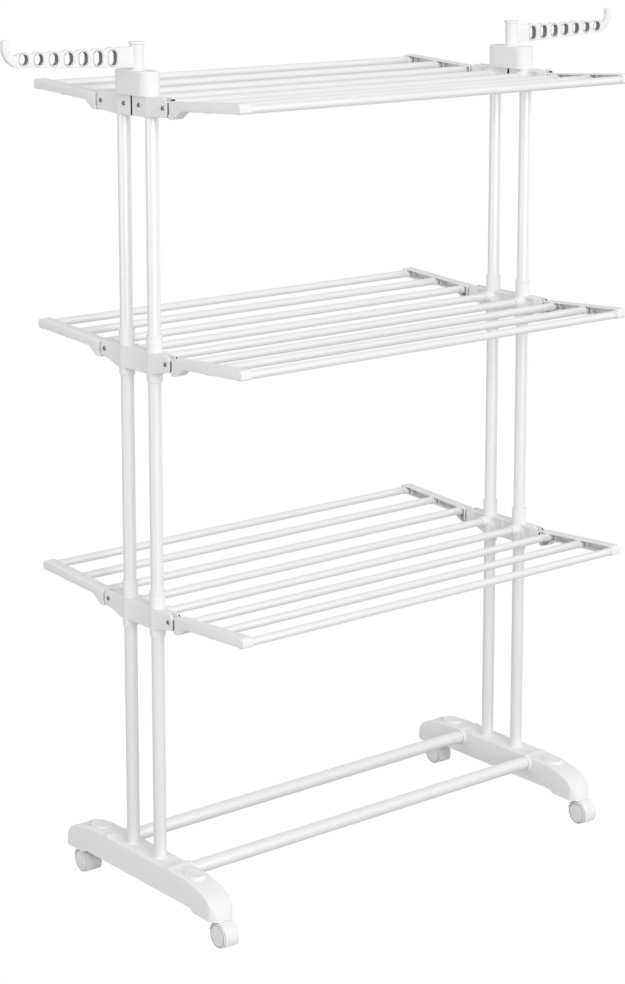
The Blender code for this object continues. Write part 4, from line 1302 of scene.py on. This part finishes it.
def arm_mesh(arms, brackets):
    """A tray open towards the rods: side plate outside, rim all round, rod sockets and ribs inside."""
    inner_face = -brackets.block_in
    outside = arm_outline(arms, brackets)
    tray = prism(outside, inner_face, BLOCK_OUT, round_low=0.0005, round_high=arms.edge_round)
    hollow = prism(arm_outline(arms, brackets, arms.wall), -THROUGH, BLOCK_OUT - arms.wall)
    body = cut(tray, hollow)
    line = HINGE_DROP + arms.rise
    added = []
    plate = BLOCK_OUT - arms.wall / 2
    radius = ROD_R + arms.socket_wall
    for index in range(WING_RODS):
        centre = (0, rod_out(arms, index), line)
        mouth = inner_face - arms.socket_proud
        profile = [(0, mouth), (radius - 0.0005, mouth), (radius, mouth + 0.0005), (radius, mouth + 0.0040)]
        profile += [(radius - 0.0005, mouth + 0.0046), (radius - 0.0005, plate), (0, plate)]
        socket = turned(profile, "X", centre, FINE + 8)
        if centre[1] > arms.lobe_length:
            low = (-THROUGH, centre[1] - 0.02, -THROUGH)
            socket = cut(socket, box(low, (THROUGH, centre[1] + 0.02, line - arms.below - BITE / 2)))
        added.append(socket)
        for side in (-1, 1):
            a = centre[1] + side * (radius + 0.0070)
            if a < arms.length - 0.006:
                under = arms.wall / 2 + arms.near_drop * (1 - a / arms.length)
                low = (inner_face + 0.0080, a - arms.rib / 2, line - arms.below + arms.wall / 2)
                high = (plate, a + arms.rib / 2, line + arms.above - under)
                added.append(box(low, high))
    mid = tongue_middle(brackets)
    half = brackets.tongue / 2
    reach = end_reach(brackets) + BITE
    nose_r = brackets.tongue_reach
    nose = [(reach, -nose_r), (reach, nose_r)] + arc((0, 0), nose_r, 90, 270, 16)
    added.append(prism(nose, mid - half, mid + half, round_low=0.0006, round_high=0.0006, steps=2))
    body = joined(body, *added)
    cuts = [cylinder(0.0033, -THROUGH, THROUGH, "X", facets=FINE)]
    bore_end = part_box("lower_back_rod_1")[1].x - POST_X + GAP
    for index in range(WING_RODS):
        cuts.append(cylinder(ROD_R + GAP, -THROUGH, bore_end, "X", (0, rod_out(arms, index), line), FINE + 8))
    body = cut(body, *cuts)
    return moved(body, Matrix.Rotation(arms.tilt, 4, "X"))


class RACK_OT_arms(bpy.types.Operator):
    """Side arms of the folding wings"""
    bl_idname = "rack.arms"
    bl_label = "Wing Arms"

    def execute(self, context):
        arms = context.scene.rack_arms
        brackets = context.scene.rack_brackets
        shape = arm_mesh(arms, brackets)
        for where, depth in DEPTHS:
            for end, side in ENDS:
                flipped = mirrored(shape, side, depth)
                for tier in TIERS:
                    name = f"{tier}_{where}_arm_{end}"
                    spot = (side * POST_X, depth * HINGE_Y, TIER_Z[tier] - HINGE_DROP)
                    piece(f"{name}_moulding", flipped, "white_plastic", (name,), place=spot)
        return {"FINISHED"}


# ---- Hanger arms ----
HOLE_HEIGHTS = (0.0275, 0.0190)
HOLE_LINE = (0.0249, 0.0310)
ARM_BOTTOM = (0.0050, 0.0160)
SCALLOP_TOP = (0.0445, 0.0432)
HOOK_BEND = (0.040, 0.0370)
RIM_GROOVE = 0.0009            # width of the fine groove round each hole's rim
RIM_GROOVE_DEEP = 0.0010
HOOK_INSIDE = ((0.0125, 0.0160), (0.0150, 0.0230), (0.0205, 0.0285), (0.0263, 0.0283))


def along_holes(hangers, r):
    return (r - hangers.first_hole) / (hangers.pitch * (hangers.holes - 1))


def scalloped_top(hangers, r):
    t = along_holes(hangers, r)
    phase = (r - hangers.first_hole) / hangers.pitch
    return blend(*SCALLOP_TOP, t) - hangers.scallop * abs(sin(pi * phase)) ** 2.5


def hook_inside(steps=5):
    """The hook's inner edge: a smooth curve through its few points."""
    ends = [(HOOK_INSIDE[0][0] - 0.002, HOOK_INSIDE[0][1] - 0.006), *HOOK_INSIDE, (0.0310, 0.0268)]
    curve = []
    for p0, p1, p2, p3 in zip(ends, ends[1:], ends[2:], ends[3:]):
        for k in range(steps):
            t = k / steps
            curve.append(tuple(
                0.5 * (
                    2 * b + (c - a) * t + (2 * a - 5 * b + 4 * c - d) * t * t
                    + (3 * b - a - 3 * c + d) * t ** 3
                )
                for a, b, c, d in zip(p0, p1, p2, p3)
            ))
    curve.append(HOOK_INSIDE[-1])
    return [(HANGER_REACH - a, HANGER_HIGH - b) for a, b in curve]


def hanger_outline(hangers):
    """Side view of the arm; r from the pivot axis, height above the cover."""
    last = hangers.first_hole + hangers.pitch * (hangers.holes - 1)
    root = hangers.sleeve / 2 - BITE
    lower = [(root, ARM_BOTTOM[0]), (last, ARM_BOTTOM[1])]
    centre = (HANGER_REACH - HOOK_BEND[0], ARM_BOTTOM[1] + HOOK_BEND[1])
    bend = arc((0, 0), 1, -82, 0, 16)
    outer = [(centre[0] + HOOK_BEND[0] * a, centre[1] + HOOK_BEND[1] * b) for a, b in bend]
    tip_r = 0.0040
    back = HANGER_REACH - 0.0095 - tip_r
    tip = arc((HANGER_REACH - tip_r, HANGER_HIGH - tip_r), tip_r, 0, 90, 5)
    tip += arc((back + tip_r, HANGER_HIGH - tip_r), tip_r, 90, 180, 5)
    start = 0.0105
    count = (hangers.holes - 1) * 12
    reaches = [blend(last + start, hangers.first_hole - start, k / count) for k in range(count + 1)]
    upper = [(r, scalloped_top(hangers, r)) for r in reaches]
    return lower + outer + tip + hook_inside() + upper + [(root, SCALLOP_TOP[0] - GAP)]


def oval(r, z, width, height, steps=12):
    radius = width / 2
    half = height / 2 - radius
    return arc((r, z + half), radius, 0, 180, steps) + arc((r, z - half), radius, 180, 360, steps)


def sleeve_profile(hangers, low, high):
    """Outside of the pivot sleeve with its ring and cap."""
    r = hangers.sleeve / 2
    ring = 0.0215
    under_cap = high - hangers.cap_thick
    ring_r = r - hangers.groove
    profile = [(0, low), (r - 0.0004, low), (r, low + 0.0004)]
    profile += [(r, ring - 0.0010), (ring_r, ring - 0.0006), (ring_r, ring + 0.0006), (r, ring + 0.0010)]
    profile += [(r, under_cap), (CAP_R - 0.0006, under_cap), (CAP_R, under_cap + 0.0006)]
    profile += [(CAP_R, high - 0.0014)]
    profile += arc((CAP_R - 0.0014, high - 0.0014), 0.0014, 0, 90, 4)[1:]
    return profile + [(r - 0.0030, high), (r - 0.0036, high - 0.0005), (0, high - 0.0005)]


def hanger_mesh(hangers):
    """Pivot sleeve and cap, and the arm with rimmed oval holes and hook. The cover's top is z = 0."""
    low = hangers.disc + GAP
    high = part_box("top_bracket_right")[1].z - COVER_TOP + hangers.cap_thick + 2 * GAP
    half = hangers.thick / 2
    floor = half - RIM_GROOVE_DEEP
    sleeve = turned(sleeve_profile(hangers, low, high))
    plate = prism(hanger_outline(hangers), -half, half, "Y", round_low=0.0008, round_high=0.0008, steps=2)
    rims = []
    holes = []
    grooves = []
    openings = []
    for k in range(hangers.holes):
        t = k / (hangers.holes - 1)
        spot = (hangers.first_hole + hangers.pitch * k, blend(*HOLE_LINE, t))
        height = blend(*HOLE_HEIGHTS, t)
        rim = oval(*spot, hangers.hole_width + 2 * hangers.rim, height + 2 * hangers.rim)
        proud = half + hangers.rim_proud
        rims.append(prism(rim, -proud, proud, "Y", round_low=0.0004, round_high=0.0004, steps=2))
        openings.append((spot, height))
        margin = 2 * hangers.rim + 2 * RIM_GROOVE
        around = oval(*spot, hangers.hole_width + margin, height + margin)
        for face in (-1, 1):
            low_y, high_y = sorted((face * floor, face * (half + 0.01)))
            grooves.append(prism(around, low_y, high_y, "Y"))
        holes.append(prism(oval(*spot, hangers.hole_width, height), -THROUGH, THROUGH, "Y"))
    for k in range(4):
        z = HANGER_HIGH - 0.0060 - 0.0030 * k
        x = HANGER_REACH - 0.0135
        holes.append(box((x - 0.003, -0.0036, z - 0.0006), (x + 0.0012, 0.0036, z + 0.0006)))
    body = joined(cut(plate, *grooves), sleeve, *rims)
    bore = cylinder(hangers.sleeve / 2 - hangers.sleeve_wall, -THROUGH, high - hangers.cap_thick - GAP)
    shape = cut(body, bore, *holes)

    # Painted shade: the floors of the grooves round the rims and the walls of the oval holes get the grey
    # colour, standing in for their shade; the real walls are white plastic.
    def in_painted_shade_groove(centre, normal):
        if abs(normal.y) > 0.9:
            return abs(abs(centre.y) - floor) < 0.0001 and centre.x > hangers.sleeve
        return any(in_painted_shade_hole(centre, *spot, height) for spot, height in openings)

    def in_painted_shade_hole(centre, r, z, height):
        across = hangers.hole_width / 2 + 0.0002
        return abs(centre.x - r) < across and abs(centre.z - z) < height / 2 + 0.0002
    return marked(shape, in_painted_shade_groove, "grey_crease")


class RACK_OT_hangers(bpy.types.Operator):
    """Swivelling hanger arms with their holes and hooks"""
    bl_idname = "rack.hangers"
    bl_label = "Hanger Arms"

    def execute(self, context):
        shape = hanger_mesh(context.scene.rack_hangers)
        for end, side in ENDS:
            name = f"hanger_arm_{end}"
            spot = (side * POST_X, 0, COVER_TOP)
            piece(f"{name}_moulding", mirrored(shape, side), "white_plastic", (name,), place=spot)
        return {"FINISHED"}


# ---- Stage ----
def soft_light(name, place, target, side, power):
    lamp = bpy.data.lights.new(name, "AREA")
    lamp.shape = "SQUARE"
    lamp.size = side
    lamp.energy = power
    made = bpy.data.objects.new(name, lamp)
    bpy.context.scene.collection.objects.link(made)
    made.location = place
    made.rotation_euler = (Vector(target) - Vector(place)).to_track_quat("-Z", "Y").to_euler()
    made.visible_camera = False
    return made


def surround(strength):
    """Even light all round, seen as plain white behind the floor."""
    world = bpy.data.worlds.new("studio")
    bpy.context.scene.world = world
    world.use_nodes = True
    tree = world.node_tree
    back = tree.nodes["Background"]
    back.inputs["Color"].default_value = (1.0, 1.0, 1.0, 1.0)
    back.inputs["Strength"].default_value = strength
    seen = node(tree, "ShaderNodeBackground")
    seen.inputs["Color"].default_value = (1.0, 1.0, 1.0, 1.0)
    path = node(tree, "ShaderNodeLightPath")
    mix = node(tree, "ShaderNodeMixShader")
    tree.links.new(path.outputs["Is Camera Ray"], mix.inputs[0])
    tree.links.new(back.outputs[0], mix.inputs[1])
    tree.links.new(seen.outputs[0], mix.inputs[2])
    tree.links.new(mix.outputs[0], tree.nodes["World Output"].inputs["Surface"])


class RACK_OT_stage(bpy.types.Operator):
    """Floor, lights and camera"""
    bl_idname = "rack.stage"
    bl_label = "Stage"

    def execute(self, context):
        stage = context.scene.rack_stage
        half = stage.floor_half
        bm = bmesh.new()
        square = ((-half, -half), (half, -half), (half, half), (-half, half))
        corners = [bm.verts.new((x, y, -0.0002)) for x, y in square]
        bm.faces.new(corners)
        mesh = mesh_from(bm)
        mesh.materials.append(bpy.data.materials["studio_floor"])
        floor = bpy.data.objects.new("floor", mesh)
        context.scene.collection.objects.link(floor)
        low, high = CAD_BOX
        aim = (low + high) / 2
        soft_light("key_light", (-2.59, -11.10, 4.56), aim, 5.2, stage.key_power)
        soft_light("left_fill", (-9.0, 1.5, 2.0), aim, 4.0, stage.fill_power)
        soft_light("right_fill", (9.0, -1.5, 2.0), aim, 4.0, stage.fill_power)
        surround(stage.sky)
        eye = bpy.data.cameras.new("camera")
        eye.lens = stage.lens
        eye.sensor_width = 36.0
        eye.shift_y = stage.shift
        eye.clip_end = 200.0
        camera = bpy.data.objects.new("camera", eye)
        context.scene.collection.objects.link(camera)
        camera.location = stage.camera
        camera.rotation_euler = (pi / 2 - stage.tilt, 0, -stage.turn)
        context.scene.camera = camera
        context.scene.view_settings.view_transform = "Standard"
        return {"FINISHED"}


class RACK_OT_finishes(bpy.types.Operator):
    """Materials of the plastic, the coated tubes, the wheels, the screws and the floor, and two colours of
    painted shade
    """
    bl_idname = "rack.finishes"
    bl_label = "Finishes"

    def execute(self, context):
        make_finishes(context.scene.rack_finish)
        return {"FINISHED"}


STEPS = (
    RACK_OT_finishes,
    RACK_OT_rods,
    RACK_OT_posts,
    RACK_OT_base_tubes,
    RACK_OT_feet,
    RACK_OT_casters,
    RACK_OT_brackets,
    RACK_OT_screws,
    RACK_OT_arms,
    RACK_OT_hangers,
    RACK_OT_stage,
)


class RACK_PT_sidebar(bpy.types.Panel):
    """Lists the rack's pieces in the order that they are made"""
    bl_label = "Drying Rack"
    bl_idname = "RACK_PT_sidebar"
    bl_space_type = "VIEW_3D"
    bl_region_type = "UI"
    bl_category = "Drying Rack"

    def draw(self, context):
        for step in STEPS:
            self.layout.operator(step.bl_idname)
        for name, kind in SETTINGS:
            column = self.layout.column(align=True)
            for key in kind.__annotations__:
                column.prop(getattr(context.scene, name), key)


def register():
    for name, kind in SETTINGS:
        bpy.utils.register_class(kind)
        setattr(bpy.types.Scene, name, PointerProperty(type=kind))
    for kind in (*STEPS, RACK_PT_sidebar):
        bpy.utils.register_class(kind)


def unregister():
    for kind in reversed((*STEPS, RACK_PT_sidebar)):
        bpy.utils.unregister_class(kind)
    for name, kind in reversed(SETTINGS):
        delattr(bpy.types.Scene, name)
        bpy.utils.unregister_class(kind)


def main():
    register()
    for step in STEPS:
        group, action = step.bl_idname.split(".")
        getattr(getattr(bpy.ops, group), action)()


if __name__ == "__main__":
    main()
